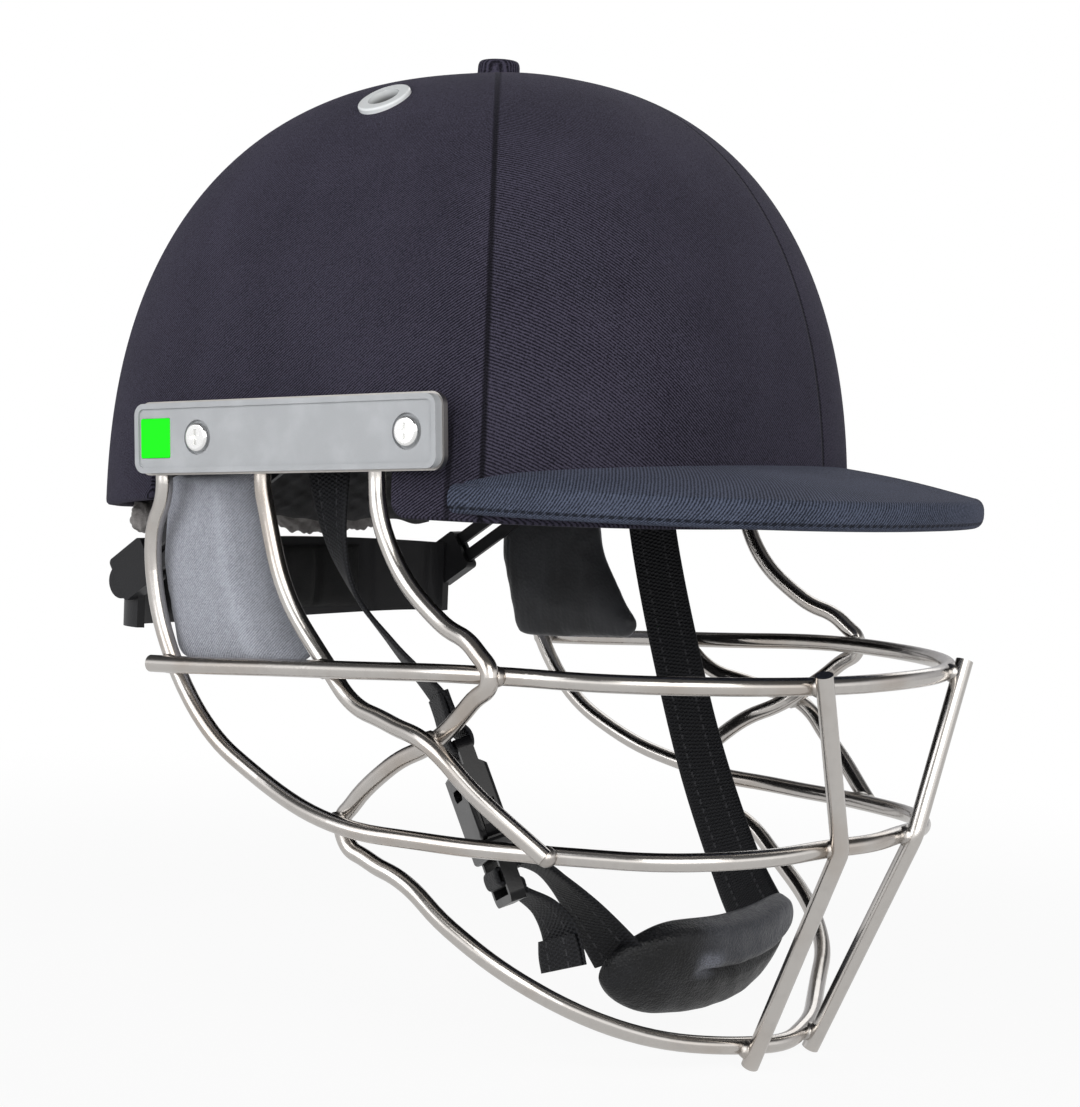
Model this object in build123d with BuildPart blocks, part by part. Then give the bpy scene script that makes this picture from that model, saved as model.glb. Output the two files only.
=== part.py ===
"""Cricket batting helmet with a bent-wire face grille, cloth-covered shell, chin strap and rear adjuster.

The origin is the middle of the head opening, +Z is up and the wearer faces -Y. Lengths are millimetres.
"""
from build123d import *
from math import cos, radians, sin, sqrt, tan
import os

os.makedirs("parts", exist_ok=True)

# Shell: outer half width, reach to the front and to the rear, and height above the head opening
shell_half_width = 94.0
shell_front = 108.0
shell_rear = 128.0
shell_height = 143.0
shell_wall = 3.5
plan_power = 2.6
profile_power = 2.4
level_shares = (0.0, 0.12, 0.24, 0.37, 0.5, 0.63, 0.76, 0.88, 0.965)
around_steps = 20
overrun = 12.0

# Rim: height at the front and at the rear, and the cut-outs above the ears
rim_front = 8.5
rim_rear = 1.0
ear_front = 38.0
ear_rear = 62.0
ear_top = 29.0
ear_lobe_half = 11.0
ear_lobe_drop = 9.5
rim_round = 5.0

# Cloth cover
cover_gap = 0.1
cover_cloth = 0.9
seam_gap = 0.5
seam_angle = 39.0
button_setback = 4.0
button_diameter = 13.5
button_height = 5.5
button_round = 1.8

# Peak
peak_centre = 52.0
peak_inset = 4.5
peak_half_width = shell_half_width - peak_inset
peak_reach = 110.0
peak_power = 2.3
peak_root_top = 27.5
peak_root_fall = 7.5
peak_root_thickness = 9.0
peak_edge_top = 18.5
peak_edge_thickness = 8.5
peak_nose = 3.0
peak_station_shares = (0.0, 0.25, 0.48, 0.68, 0.84, 0.95)
peak_root_share = 0.93

# Vent grommets
vent_side = 48.0
vent_back = 9.0
vent_diameter = 17.0
vent_bore = 10.0
vent_lip = 1.4
vent_barrel_wall = 1.2

# Liner and comfort pads
liner_gap = 0.3
liner_thickness = 12.0
liner_ear_margin = 18.0
liner_rim_margin = 2.0
pad_thickness = 4.0
crown_pad_radius = 42.0
brow_pad_height = 28.0
brow_pad_half_width = 70.0
neck_pad_drop = 3.0
neck_pad_height = 34.0
neck_pad_half_width = 62.0

# Side plates that carry the grille, tilted up and turned in towards the front
plate_length = 115.5
plate_height = 20.8
plate_corner = 3.5
plate_margin = 0.6
plate_steel = 1.8
plate_stand = 1.3
plate_side = shell_half_width + plate_stand
plate_ahead = 0.8
plate_level = 29.6
plate_tilt = 3.5
plate_toe = 1.8
cover_thickness = 3.0
cover_border = 1.6
cover_relief = 0.6
inlay_size = 11.8
inlay_thickness = 0.5
inlay_inset = 8.2
inlay_fit = 0.1

# Screws, spacers and tee nuts
screw_front = 47.0
screw_rear = 32.6
screw_diameter = 4.0
screw_clearance = 0.3
screw_head_diameter = 8.6
screw_head_height = 2.2
screw_recess_diameter = 10.4
screw_recess_depth = 1.2
drive_width = 1.1
drive_length = 4.6
drive_depth = 1.2
spacer_diameter = 11.0
tee_flange_diameter = 13.0
tee_flange_thickness = 1.2
tee_barrel_diameter = 6.0
tee_barrel_length = 3.0
thread_clearance = 0.05

# Grille
wire_diameter = 5.2
weld_sink = 0.4
wire_weld_length = 7.5
wire_lead = 3.0
grille_inset = 2.3
grille_half_width = plate_side - grille_inset
grille_reach = 150.0
grille_drop = 145.0
bar_overhang = 4.0
bar_bend = 8.0
bar_lean = 24.0
straight_angle = 0.3

# Temple pads, inside the grille below the ears
temple_pad_inset = 8.0
temple_pad_outer = plate_side - temple_pad_inset
temple_pad_thickness = 9.5
temple_pad_round = 3.0
temple_pad_corner = 4.0
temple_pad_length = 63.0
temple_pad_drop = 38.0
temple_tab_thickness = 5.5
temple_tab_start = 20.0
temple_tab_length = 26.0

# Anchor posts inside the shell, which carry the chin strap and the rear adjuster
anchor_ahead = 2.0
anchor_level = 38.0
anchor_post_diameter = 6.0
anchor_post_length = 20.5
anchor_post_end = shell_half_width - anchor_post_length
anchor_head_diameter = 10.0
anchor_head_thickness = 1.6
anchor_base_thickness = 3.0
running_clearance = 0.08

# Chin strap
webbing_width = 19.0
webbing_thickness = 1.6
webbing_gap = 0.1
webbing_inset = 14.0
webbing_side = shell_half_width - webbing_inset
webbing_overlap = 8.0
cup_half_length = 46.0
cup_ahead = 93.0
cup_level = 123.0
cup_rise = 5.0
cup_sweep = 8.0
cup_height = 31.0
cup_thickness = 13.0
cup_round = 5.5
cup_slit = 24.0
cup_slit_width = 2.0
cup_slit_depth = 3.0
cup_tilt = 25.0
cup_end_share = 0.62

# Side-release buckle
buckle_inset = 24.0
buckle_side = shell_half_width - buckle_inset
buckle_ahead = 46.5
buckle_start = 57.0
buckle_in = 4.3
buckle_lean = 24.9
buckle_turn = 39.0
buckle_loop = 7.5
buckle_length = 22.0
buckle_width = 24.0
buckle_thickness = 9.0
buckle_round = 3.0
buckle_edge = 1.2
buckle_wall = 1.8
buckle_fit = 0.3
buckle_bar = 2.2
buckle_window_width = 11.0
buckle_window_height = 3.5
prong_width = 3.4
prong_length = 14.0
prong_bulge = 2.6
prong_swing_room = 0.4
plug_tongue_width = 6.0
plug_base_length = 5.5
lock_length = 13.4
lock_rail = 2.2
lock_bar = 2.4
lock_thickness = 4.5
tail_length = 26.0
tail_turn = 25.0

# Rear adjuster
arm_inset = 17.5
arm_side = shell_half_width - arm_inset
arm_fall = 33.0
arm_length = 106.0
arm_width = 11.0
arm_thickness = 1.6
arm_slot_width = 2.6
arm_slot_length = 34.0
arm_slot_end = 100.0
cradle_inset = 23.0
cradle_back = shell_rear - cradle_inset
cradle_power = 2.3
cradle_drop = 6.5
cradle_height = 28.0
cradle_end_height = 24.0
cradle_corner = 4.0
cradle_thickness = 3.2
sleeve_place = 98.0
sleeve_length = 16.0
sleeve_wall = 1.5
sleeve_fit = 0.35
cradle_pad_thickness = 4.5
cradle_pad_half_length = 48.0
cradle_pad_margin = 3.0
cradle_pad_round = 1.5
dial_drop = 2.0
dial_diameter = 25.0
dial_thickness = 7.5
dial_edge = 1.2
dial_grips = 12
dial_grip_diameter = 2.4
dial_seat = 0.3
dial_shaft_diameter = 6.0
dial_shaft_head = 8.4
dial_shaft_head_thickness = 1.0


def signed_power(value, power):
    return abs(value) ** power * (1 if value >= 0 else -1)


def plan_point(half_width, front, rear, power, angle):
    """Point of a rounded plan outline, at an angle from +X."""
    x = half_width * signed_power(cos(radians(angle)), 2 / power)
    y = (rear if angle < 180 else front) * signed_power(sin(radians(angle)), 2 / power)
    return x, y


def dome(grow):
    """Solid dome of the shell's form, larger than the shell's outside by grow."""
    with BuildPart() as form:
        for share in level_shares:
            rise = 90 * share
            ring = cos(radians(rise)) ** (2 / profile_power)
            level = (shell_height + grow) * sin(radians(rise)) ** (2 / profile_power)
            sizes = [(size + grow) * ring for size in (shell_half_width, shell_front, shell_rear)]
            with BuildSketch(Plane.XY.offset(level)):
                with BuildLine():
                    Spline(*[plan_point(*sizes, plan_power, 360 * i / around_steps) for i in range(around_steps)],
                           periodic=True)
                make_face()
        loft()
    return form.part


def dome_height(x, y, grow):
    """Height of the dome's surface above a place in plan."""
    reach = shell_rear if y > 0 else shell_front
    flat = abs(x / (shell_half_width + grow)) ** plan_power + abs(y / (reach + grow)) ** plan_power
    return (shell_height + grow) * (1 - flat ** (profile_power / plan_power)) ** (1 / profile_power)


def dome_plane(x, y, grow):
    """Plane that lies on the dome's surface above a place in plan, facing outwards."""
    step = cover_cloth
    along = Vector(2 * step, 0, dome_height(x + step, y, grow) - dome_height(x - step, y, grow))
    across = Vector(0, 2 * step, dome_height(x, y + step, grow) - dome_height(x, y - step, grow))
    return Plane(origin=(x, y, dome_height(x, y, grow)), x_dir=along, z_dir=along.cross(across))


def rim_cutter(margin, raised):
    """Everything below the rim, with the ear cut-outs grown by margin and the rest of the rim raised."""
    low = -overrun
    with BuildPart() as cutter:
        with BuildSketch(Plane.YZ):
            with BuildLine():
                Polyline((-shell_front - overrun, low), (-shell_front - overrun, rim_front + raised),
                         (-ear_front - margin, rim_front + raised), (-ear_front - margin, ear_top + margin),
                         (ear_rear + margin, ear_top + margin), (ear_rear + margin, rim_front + raised),
                         (shell_rear + overrun, rim_rear + raised), (shell_rear + overrun, low), close=True)
            make_face()
            if not margin:
                with Locations((rear_screw.Y, ear_top)):
                    Rectangle(2 * ear_lobe_half, 2 * (ear_top - rear_screw.Z + ear_lobe_drop), mode=Mode.SUBTRACT)
            corners = vertices().filter_by_position(Axis.X, -ear_front - margin, ear_rear + margin)
            fillet(corners, rim_round)
        extrude(amount=shell_half_width + overrun, both=True)
    return cutter.part


# The two screw places of a side plate, along its length towards the front
screw_places = [(screw_front, 0), (-screw_rear, 0)]
toe_in, tilt_up = radians(plate_toe), radians(plate_tilt)
plate_forward = Vector(-sin(toe_in), -cos(toe_in) * cos(tilt_up), sin(tilt_up))
plate_outward = Vector(cos(toe_in), -sin(toe_in), 0)
plate_inner = Plane(origin=(plate_side, -plate_ahead, plate_level), x_dir=plate_forward, z_dir=plate_outward)
plate_outer = plate_inner.offset(plate_steel)
cover_outer = plate_outer.offset(cover_thickness)
rear_screw = plate_inner.from_local_coords((-screw_rear, 0, 0))


def screw_bores(diameter):
    """Through holes of the plate screws on the left side."""
    with BuildPart() as bores:
        with BuildSketch(plate_inner.offset(-shell_half_width / 2)):
            with Locations(*screw_places):
                Circle(diameter / 2)
        extrude(amount=shell_half_width)
    return bores.part


def both_sides(part):
    """A left piece together with its mirror image."""
    with BuildPart() as pair:
        add(part)
        mirror(part, about=Plane.YZ)
    return pair.part


cover_outside = cover_gap + cover_cloth
liner_outside = -shell_wall - liner_gap
liner_inside = liner_outside - liner_thickness
bores = both_sides(screw_bores(screw_diameter + 2 * screw_clearance))

# Vent holes, square to the surface
vent_plane = dome_plane(vent_side, vent_back, cover_outside)
with BuildPart() as vent_cut:
    with BuildSketch(vent_plane.offset(-liner_thickness - overrun)):
        Circle(vent_bore / 2 + vent_barrel_wall)
    extrude(amount=liner_thickness + 2 * overrun)
vent_holes = both_sides(vent_cut.part)

# Outer shell
rim_cut = rim_cutter(0, 0)
with BuildPart() as outer_shell:
    add(dome(0))
    add(dome(-shell_wall), mode=Mode.SUBTRACT)
    add(rim_cut, mode=Mode.SUBTRACT)
    add(bores, mode=Mode.SUBTRACT)
    add(vent_holes, mode=Mode.SUBTRACT)
outer_shell.part.label = "outer_shell"
export_step(outer_shell.part, "parts/outer_shell.step")

# Cloth cover: one skin, cut into panels along the seams
with BuildPart() as cover_skin:
    add(dome(cover_outside))
    add(dome(cover_gap), mode=Mode.SUBTRACT)
    add(rim_cut, mode=Mode.SUBTRACT)
    add(bores, mode=Mode.SUBTRACT)
    add(vent_holes, mode=Mode.SUBTRACT)


def wedge(start, end, gap):
    """Upright wedge from the button, between two directions in plan, with half a seam gap left free."""
    reach = 3 * shell_rear
    middle = radians((start + end) / 2)
    half = radians((end - start) / 2)
    shift = gap / 2 / sin(half)
    tip = (shift * cos(middle), button_setback + shift * sin(middle))
    rim = [(tip[0] + reach * cos(radians(a)), tip[1] + reach * sin(radians(a)))
           for a in (start, (start + end) / 2, end)]
    with BuildPart() as form:
        with BuildSketch(Plane.XY.offset(-overrun)):
            with BuildLine():
                Polyline(tip, *rim, close=True)
            make_face()
        extrude(amount=shell_height + 3 * overrun)
    return form.part


with BuildPart() as cover_front_panel:
    add(cover_skin.part)
    add(wedge(180 + seam_angle, 360 - seam_angle, seam_gap), mode=Mode.INTERSECT)
cover_front_panel.part.label = "cover_front_panel"
export_step(cover_front_panel.part, "parts/cover_front_panel.step")

with BuildPart() as cover_left_panel:
    add(cover_skin.part)
    add(wedge(-seam_angle, 90, seam_gap), mode=Mode.INTERSECT)
cover_left_panel.part.label = "cover_left_panel"
export_step(cover_left_panel.part, "parts/cover_left_panel.step")

with BuildPart() as cover_right_panel:
    mirror(cover_left_panel.part, about=Plane.YZ)
cover_right_panel.part.label = "cover_right_panel"
export_step(cover_right_panel.part, "parts/cover_right_panel.step")

# Button at the crown, seated on the panels
button_seat = dome_height(button_diameter / 2, button_setback, cover_outside)
with BuildPart() as top_button:
    with BuildSketch(Plane.XY.offset(button_seat)) as button_base:
        with Locations((0, button_setback)):
            Circle(button_diameter / 2)
    extrude(amount=button_height)
    fillet(top_button.faces().sort_by(Axis.Z)[-1].edges(), button_round)
    add(dome(cover_outside), mode=Mode.SUBTRACT)
top_button.part.label = "top_button"
export_step(top_button.part, "parts/top_button.step")


def peak_form(inset, lower_half=False):
    """Peak as a loft of upright sections round the front, all of it or only what lies under its mid height."""
    with BuildPart() as form:
        spread = 1 - inset / peak_half_width + (overrun / shell_rear / 3 if lower_half else 0)
        root_share = peak_root_share * (1 - 2 * inset / peak_half_width) - (overrun / shell_rear if lower_half else 0)
        stations = [-share for share in peak_station_shares[:0:-1]] + list(peak_station_shares)
        for share in stations:
            turn = radians(90 * share * spread)
            x = (peak_half_width - inset) * signed_power(sin(turn), 2 / peak_power)
            y = -peak_centre - (peak_reach - inset) * cos(turn) ** (2 / peak_power)
            root_x = x * root_share
            flat = abs(root_x / shell_half_width) ** plan_power
            root_y = -shell_front * (1 - flat) ** (1 / plan_power) * root_share
            run = sqrt((x - root_x) ** 2 + (y - root_y) ** 2)
            root_top = peak_root_top - peak_root_fall * share ** 2 - inset
            root_low = root_top - peak_root_thickness + 2 * inset
            edge_top = peak_edge_top - inset
            edge_low = edge_top - peak_edge_thickness + 2 * inset
            if lower_half:
                root_top, edge_top = (root_top + root_low) / 2, (edge_top + edge_low) / 2
                edge_top -= (root_top - edge_top) / run * overrun
                root_low, edge_low, run = root_low - overrun, edge_low - overrun, run + overrun
            nose = min(peak_nose, (edge_top - edge_low) / 2)
            across = (root_y - y, x - root_x, 0)
            plane = Plane(origin=(root_x, root_y, 0), x_dir=(x - root_x, y - root_y, 0), z_dir=across)
            up = plane.y_dir.Z
            with BuildSketch(plane):
                with BuildLine():
                    upper = Line((0, up * root_top), (run - nose, up * edge_top))
                    middle = up * (edge_top + edge_low) / 2
                    ThreePointArc(upper @ 1, (run, middle), (run - nose, up * edge_low))
                    Line((run - nose, up * edge_low), (0, up * root_low))
                    Line((0, up * root_low), (0, up * root_top))
                make_face()
        loft()
    return form.part


# Peak: a stiff board between two pieces of cloth
peak_keepout = dome(cover_outside + cover_gap)
peak_core, peak_under = peak_form(cover_cloth), peak_form(0, True)
with BuildPart() as peak_board:
    add(peak_core)
    add(peak_keepout, mode=Mode.SUBTRACT)
peak_board.part.label = "peak_board"
export_step(peak_board.part, "parts/peak_board.step")

with BuildPart() as peak_wrap:
    add(peak_form(0))
    add(peak_core, mode=Mode.SUBTRACT)
    add(peak_keepout, mode=Mode.SUBTRACT)

with BuildPart() as peak_under_cloth:
    add(peak_wrap.part)
    add(peak_under, mode=Mode.INTERSECT)
peak_under_cloth.part.label = "peak_under_cloth"
export_step(peak_under_cloth.part, "parts/peak_under_cloth.step")

with BuildPart() as peak_top_cloth:
    add(peak_wrap.part)
    add(peak_under, mode=Mode.SUBTRACT)
peak_top_cloth.part.label = "peak_top_cloth"
export_step(peak_top_cloth.part, "parts/peak_top_cloth.step")

# Vent grommets: a lip on the cloth and a barrel through the cover and the shell
with BuildPart() as vent_grommet_left:
    with BuildSketch(vent_plane.offset(-vent_lip)):
        Circle(vent_diameter / 2)
    extrude(amount=2 * vent_lip)
    fillet(vent_grommet_left.edges().sort_by(SortBy.DISTANCE)[-1], vent_lip / 2)
    add(dome(cover_outside), mode=Mode.SUBTRACT)
    with BuildSketch(vent_plane.offset(vent_lip / 2)):
        Circle(vent_bore / 2 + vent_barrel_wall - cover_gap)
    extrude(amount=-vent_lip / 2 - cover_outside - shell_wall)
    with BuildSketch(vent_plane.offset(vent_lip)):
        Circle(vent_bore / 2)
    extrude(amount=-2 * vent_lip - cover_outside - shell_wall, mode=Mode.SUBTRACT)
vent_grommet_left.part.label = "vent_grommet_left"
export_step(vent_grommet_left.part, "parts/vent_grommet_left.step")

with BuildPart() as vent_grommet_right:
    mirror(vent_grommet_left.part, about=Plane.YZ)
vent_grommet_right.part.label = "vent_grommet_right"
export_step(vent_grommet_right.part, "parts/vent_grommet_right.step")

# Impact liner
with BuildPart() as impact_liner:
    add(dome(liner_outside))
    add(dome(liner_inside), mode=Mode.SUBTRACT)
    add(rim_cutter(liner_ear_margin, liner_rim_margin), mode=Mode.SUBTRACT)
    add(vent_holes, mode=Mode.SUBTRACT)
impact_liner.part.label = "impact_liner"
export_step(impact_liner.part, "parts/impact_liner.step")

# Comfort pads on the inside of the liner
pad_skin_outer = dome(liner_inside - liner_gap)
pad_skin_inner = dome(liner_inside - liner_gap - pad_thickness)
with BuildPart() as crown_pad:
    add(pad_skin_outer)
    add(pad_skin_inner, mode=Mode.SUBTRACT)
    with BuildSketch():
        with Locations((0, vent_back)):
            Circle(crown_pad_radius)
    extrude(amount=shell_height, mode=Mode.INTERSECT)
    add(vent_holes, mode=Mode.SUBTRACT)
crown_pad.part.label = "crown_pad"
export_step(crown_pad.part, "parts/crown_pad.step")

brow_pad_level = rim_front + liner_rim_margin
with BuildPart() as brow_pad:
    add(pad_skin_outer)
    add(pad_skin_inner, mode=Mode.SUBTRACT)
    with BuildSketch(Plane.XZ):
        with Locations((0, brow_pad_level + brow_pad_height / 2)):
            RectangleRounded(2 * brow_pad_half_width, brow_pad_height, rim_round)
    extrude(amount=shell_front, mode=Mode.INTERSECT)
brow_pad.part.label = "brow_pad"
export_step(brow_pad.part, "parts/brow_pad.step")

with BuildPart() as rear_neck_pad:
    add(pad_skin_outer)
    add(pad_skin_inner, mode=Mode.SUBTRACT)
    for skin, kept in ((pad_skin_outer, Mode.ADD), (pad_skin_inner, Mode.SUBTRACT)):
        add(skin.faces().sort_by(Axis.Z)[0])
        extrude(amount=neck_pad_drop, dir=(0, 0, -1), mode=kept)
    with BuildSketch(Plane.XZ):
        with Locations((0, neck_pad_height / 2 - neck_pad_drop)):
            RectangleRounded(2 * neck_pad_half_width, neck_pad_height, rim_round)
    extrude(amount=-shell_rear, mode=Mode.INTERSECT)
rear_neck_pad.part.label = "rear_neck_pad"
export_step(rear_neck_pad.part, "parts/rear_neck_pad.step")


def skin_depth(place, grow):
    """Distance from the steel plate's inner face, straight in, to the dome's surface."""
    low, high = 0, shell_half_width / 2
    while high - low > running_clearance / 8:
        middle = (low + high) / 2
        point = plate_inner.from_local_coords((place[0], place[1], -middle))
        reach = shell_rear if point.Y > 0 else shell_front
        flat = abs(point.X / (shell_half_width + grow)) ** plan_power + abs(point.Y / (reach + grow)) ** plan_power
        inside = flat ** (profile_power / plan_power) + (point.Z / (shell_height + grow)) ** profile_power < 1
        low, high = (low, middle) if inside else (middle, high)
    return low


# Steel plates that the grille's wires are welded to
with BuildPart() as grille_plate_left:
    with BuildSketch(plate_inner):
        RectangleRounded(plate_length + 2 * plate_margin, plate_height + 2 * plate_margin, plate_corner + plate_margin)
        with Locations(*screw_places):
            Circle(screw_diameter / 2 + screw_clearance, mode=Mode.SUBTRACT)
    extrude(amount=plate_steel)
grille_plate_left.part.label = "grille_plate_left"
export_step(grille_plate_left.part, "parts/grille_plate_left.step")

with BuildPart() as grille_plate_right:
    mirror(grille_plate_left.part, about=Plane.YZ)
grille_plate_right.part.label = "grille_plate_right"
export_step(grille_plate_right.part, "parts/grille_plate_right.step")

# Plastic covers on the plates, with a raised border, screw recesses and a square pocket
inlay_place = (inlay_inset - plate_length / 2, 0)
cover_floor = cover_outer.offset(-cover_relief)
with BuildPart() as plate_cover_left:
    with BuildSketch(plate_outer):
        RectangleRounded(plate_length, plate_height, plate_corner)
    extrude(amount=cover_thickness)
    with BuildSketch(cover_outer):
        RectangleRounded(plate_length - 2 * cover_border, plate_height - 2 * cover_border, plate_corner - cover_border)
    extrude(amount=-cover_relief, mode=Mode.SUBTRACT)
    with BuildSketch(cover_floor):
        with Locations(*screw_places):
            Circle(screw_recess_diameter / 2)
        with Locations(inlay_place):
            RectangleRounded(inlay_size + 2 * inlay_fit, inlay_size + 2 * inlay_fit, cover_relief)
    extrude(amount=-screw_recess_depth, mode=Mode.SUBTRACT)
    with BuildSketch(cover_outer):
        with Locations(*screw_places):
            Circle(screw_diameter / 2 + screw_clearance)
    extrude(amount=-cover_thickness, mode=Mode.SUBTRACT)
plate_cover_left.part.label = "plate_cover_left"
export_step(plate_cover_left.part, "parts/plate_cover_left.step")

with BuildPart() as plate_cover_right:
    mirror(plate_cover_left.part, about=Plane.YZ)
plate_cover_right.part.label = "plate_cover_right"
export_step(plate_cover_right.part, "parts/plate_cover_right.step")

with BuildPart() as plate_inlay_left:
    with BuildSketch(cover_floor.offset(-screw_recess_depth)):
        with Locations(inlay_place):
            RectangleRounded(inlay_size, inlay_size, cover_relief)
    extrude(amount=screw_recess_depth + inlay_thickness / 2)
    chamfer(plate_inlay_left.faces().sort_by(Axis.X)[-1].edges(), inlay_thickness / 4)
plate_inlay_left.part.label = "plate_inlay_left"
export_step(plate_inlay_left.part, "parts/plate_inlay_left.step")

with BuildPart() as plate_inlay_right:
    mirror(plate_inlay_left.part, about=Plane.YZ)
plate_inlay_right.part.label = "plate_inlay_right"
export_step(plate_inlay_right.part, "parts/plate_inlay_right.step")

# Screws with a cross drive, spacers between the steel and the cloth, and tee nuts on the shell's inside
screw_seat = cover_floor.offset(-screw_recess_depth)
screw_seat_height = plate_steel + cover_thickness - cover_relief - screw_recess_depth
with BuildPart() as screws_left:
    for place in screw_places:
        shank = screw_seat_height + skin_depth(place, -shell_wall) + tee_flange_thickness + tee_barrel_length
        with BuildSketch(screw_seat):
            with Locations(place):
                Circle(screw_head_diameter / 2)
        extrude(amount=screw_head_height)
        with BuildSketch(screw_seat):
            with Locations(place):
                Circle(screw_diameter / 2)
        extrude(amount=-shank)
    rims = screws_left.edges().filter_by(GeomType.CIRCLE).filter_by(lambda e: e.radius > screw_diameter)
    tops = [e for e in rims if plate_inner.to_local_coords(e.center()).Z > screw_seat_height + screw_head_height / 2]
    fillet(tops, screw_head_height / 2.5)
    with BuildSketch(screw_seat.offset(screw_head_height)):
        with Locations(*screw_places):
            Rectangle(drive_length, drive_width)
            Rectangle(drive_width, drive_length)
    extrude(amount=-drive_depth, mode=Mode.SUBTRACT)

with BuildPart() as plate_screws:
    add(screws_left.part)
    mirror(screws_left.part, about=Plane.YZ)
plate_screws.part.label = "plate_screws"
export_step(plate_screws.part, "parts/plate_screws.step")

cover_solid = dome(cover_outside)
with BuildPart() as spacers_left:
    for place in screw_places:
        with BuildSketch(plate_inner):
            with Locations(place):
                Circle(spacer_diameter / 2)
                Circle(screw_diameter / 2 + screw_clearance, mode=Mode.SUBTRACT)
        extrude(amount=-skin_depth(place, -shell_wall))
    add(cover_solid, mode=Mode.SUBTRACT)

with BuildPart() as plate_spacers:
    add(spacers_left.part)
    mirror(spacers_left.part, about=Plane.YZ)
plate_spacers.part.label = "plate_spacers"
export_step(plate_spacers.part, "parts/plate_spacers.step")

shell_inside = dome(-shell_wall - thread_clearance)
with BuildPart() as tee_nuts_left:
    for place in screw_places:
        depth = skin_depth(place, -shell_wall)
        with BuildSketch(plate_inner.offset(-depth + shell_wall)):
            with Locations(place):
                Circle(tee_flange_diameter / 2)
        extrude(amount=-shell_wall - tee_flange_thickness)
        with BuildSketch(plate_inner.offset(-depth)):
            with Locations(place):
                Circle(tee_barrel_diameter / 2)
        extrude(amount=-tee_flange_thickness - tee_barrel_length)
    add(shell_inside, mode=Mode.INTERSECT)
    with BuildSketch(plate_inner):
        with Locations(*screw_places):
            Circle(screw_diameter / 2 + thread_clearance)
    extrude(amount=-shell_half_width / 2, mode=Mode.SUBTRACT)

with BuildPart() as tee_nuts:
    add(tee_nuts_left.part)
    mirror(tee_nuts_left.part, about=Plane.YZ)
tee_nuts.part.label = "tee_nuts"
export_step(tee_nuts.part, "parts/tee_nuts.step")

# Routes of the grille's wires, left half: shares of the half width, the reach ahead and the drop, and which
# side of a crossing the wire takes (1 outside, -1 inside, 0 where nothing crosses)
upper_ring_shares = [(1.0, -0.355, 0.288, 1), (1.0, -0.32, 0.286, 1), (0.991, 0.095, 0.257, 1),
                     (1.009, 0.53, 0.23, -1), (0.882, 0.713, 0.229, 0), (0.71, 0.85, 0.2276, 0),
                     (0.398, 0.987, 0.2276, -1), (0.0, 1.027, 0.2276, -1)]
middle_ring_shares = [(0.995, -0.38, 0.031, 0), (0.984, -0.37, 0.157, 0), (1.0, -0.32, 0.286, -1),
                      (0.968, -0.22, 0.414, 0), (0.971, -0.07, 0.501, 0), (0.976, 0.137, 0.56, 1),
                      (0.962, 0.387, 0.571, 0), (0.894, 0.609, 0.569, -1), (0.667, 0.827, 0.5655, 0),
                      (0.452, 0.913, 0.56, 0), (0.216, 0.965, 0.554, -1), (0.0, 0.983, 0.554, -1)]
cheek_wire_shares = [(0.992, -0.062, -0.029, 0), (0.981, -0.017, 0.109, 0), (0.991, 0.095, 0.257, -1),
                     (0.976, 0.159, 0.313, 0), (1.005, 0.278, 0.347, 0), (1.004, 0.378, 0.37, 1),
                     (0.995, 0.5, 0.469, 0), (0.894, 0.609, 0.569, 1)]
chin_ring_shares = [(0.998, 0.227, -0.068, 0), (0.996, 0.283, 0.0455, 0), (1.009, 0.393, 0.137, 0),
                    (1.028, 0.489, 0.182, 0), (1.009, 0.53, 0.23, 1), (1.0215, 0.479, 0.288, 0),
                    (1.004, 0.378, 0.37, -1), (0.957, 0.257, 0.4366, 0), (0.952, 0.165, 0.5207, 0),
                    (0.976, 0.137, 0.56, -1), (0.948, 0.147, 0.599, 0), (0.947, 0.21, 0.632, 0),
                    (0.946, 0.287, 0.657, 0), (0.919, 0.401, 0.74, 0), (0.86, 0.495, 0.807, 0),
                    (0.742, 0.582, 0.872, 0), (0.505, 0.667, 0.942, 0), (0.178, 0.779, 0.9855, -1),
                    (0.0, 0.803, 0.992, -1)]
bar_shares = [(0.398, 0.987, 0.2276, 1), (0.216, 0.965, 0.554, 1), (0.178, 0.779, 0.9855, 1)]
middle_top, cheek_top, chin_top = -plate_length * 0.455, -plate_length * 0.111, plate_length * 0.266
half_gap = (wire_diameter - weld_sink) / 2


def wire_point(x_share, y_share, z_share, side):
    """Point of a wire, moved to its own side of a crossing by half the distance between the two wires."""
    point = Vector(x_share * grille_half_width, -y_share * grille_reach, -z_share * grille_drop)
    if z_share > bar_shares[1][2] * 1.5:
        outward = Vector(0, -cos(radians(bar_lean)), -sin(radians(bar_lean)))
    elif y_share > 0.55:
        outward = Vector(point.X, point.Y + grille_reach * 0.3, 0).normalized()
    else:
        outward = Vector(1, 0, 0)
    return point + outward * side * half_gap


def wire_top(along):
    """Straight top end of a wire, welded to the inside of the steel plate."""
    depth = (weld_sink - wire_diameter) / 2
    levels = (wire_weld_length, wire_weld_length / 2, 0, -wire_lead)
    return [plate_inner.from_local_coords((along, plate_height / 2 - level, depth)) for level in levels]


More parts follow.
